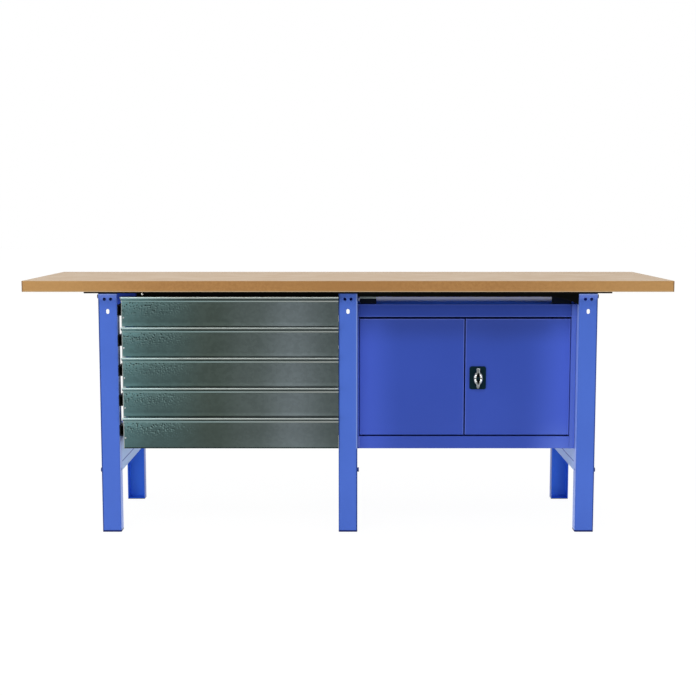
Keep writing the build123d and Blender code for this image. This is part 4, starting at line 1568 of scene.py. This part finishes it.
@dataclass(frozen=True)
class Studio:
    """Pale floor, soft lamps and a pale surround that is dimmer behind the camera."""

    floor_half: float = 30.0
    floor_colour: Colour = (0.9, 0.9, 0.9)
    floor_roughness: float = 0.9
    floor_glow: float = 0.93
    glow_colour: Colour = (1.0, 1.0, 1.0)
    glow_strength: float = 1.03
    fade_start: float = -1.72
    fade_end: float = -2.5
    surround_back: float = 1.0
    surround_front: float = 0.36
    surround_top: float = 0.85
    front_to_back: Span = (-0.5, 0.35)
    side_to_top: Span = (0.25, 0.85)
    lamps: tuple[Lamp, ...] = (
        Lamp("key_lamp", (-0.8, -3.6, 3.9), (0.0, 0.0, 0.6), size=(4.0, 2.4), power=90.0),
        Lamp("left_low_lamp", (-3.0, -2.6, 0.6), (0.2, 0.0, 0.25), size=(1.6, 1.0), power=20.0),
        Lamp("right_low_lamp", (3.0, -2.6, 0.6), (-0.2, 0.0, 0.25), size=(1.6, 1.0), power=20.0),
    )

    def build(self) -> None:
        """Make the floor, the surround and the lamps.

        The lamps are hung in the order of their list.
        """
        self._surround()
        self._floor()
        for lamp in self.lamps:
            lamp.hang()

    def _surround(self) -> None:
        """Make the world's soft light.

        It is brightest behind the bench, and a little dimmer overhead.
        """
        world = bpy.data.worlds.new("surround")
        world.use_nodes = True
        bpy.context.scene.world = world
        wiring = Wiring(world.node_tree)
        direction = wiring.node("ShaderNodeTexCoord").outputs["Generated"]
        axes = wiring.node("ShaderNodeSeparateXYZ", Vector=direction).outputs
        level = wiring.ramp(axes["Y"], *self.front_to_back, self.surround_front, self.surround_back)
        shades = [
            wiring.node("ShaderNodeCombineColor", Red=value, Green=value, Blue=value).outputs[0]
            for value in (level, self.surround_top)
        ]
        light = wiring.mix(wiring.ramp(axes["Z"], *self.side_to_top), *shades)
        wiring.feed(world.node_tree.nodes["Background"].inputs["Color"], light)

    def _floor_finish(self) -> Material:
        """Make the floor's finish, which shines white for what sees it and still takes shadows.

        Returns:
            The material.
        """
        make = Recipe("pale_floor")
        nearness = make.ramp(make.axes["Y"], self.fade_end, self.fade_start)
        grey = (self.surround_front,) * 3
        make.put(
            Base_Color=make.mix(nearness, grey, self.floor_colour), Roughness=self.floor_roughness,
            Specular_IOR_Level=0.0,
        )
        bright = make.mix(nearness, grey, self.glow_colour)
        glow = make.node("ShaderNodeEmission", Color=bright, Strength=self.glow_strength)
        path = make.node("ShaderNodeLightPath").outputs
        seen = make.math("MAXIMUM", path["Is Camera Ray"], path["Is Glossy Ray"])
        seen = make.math("MAXIMUM", seen, path["Is Transmission Ray"])
        both = make.row(
            "ShaderNodeMixShader", {}, make.times(seen, self.floor_glow), make.shader.outputs["BSDF"],
            glow.outputs["Emission"],
        )
        make.feed(make.tree.nodes["Material Output"].inputs["Surface"], both)
        return make.material

    def _floor(self) -> None:
        """Make the floor, white around the bench and greyer far in front of it.
        """
        data = bpy.data.meshes.new("floor")
        half = self.floor_half
        corners = [(-half, -half, 0), (half, -half, 0), (half, half, 0), (-half, half, 0)]
        data.from_pydata(corners, [], [(0, 1, 2, 3)])
        floor = bpy.data.objects.new("floor", data)
        bpy.context.scene.collection.objects.link(floor)
        data.materials.append(self._floor_finish())


def main() -> None:
    """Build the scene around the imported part."""
    logging.basicConfig(level=logging.INFO, format="%(name)s: %(message)s")
    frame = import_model()
    bpy.context.scene.view_settings.view_transform = "Standard"
    palette = Palette()
    assemblies = [kind(frame, palette) for kind in (Worktop, LegFrames, DrawerStack, Cabinet, Lock)]
    for assembly in assemblies:
        assembly.dress()
    for assembly in assemblies:
        assembly.build()
    Viewpoint().build()
    Studio().build()


if __name__ == "__main__":
    main()
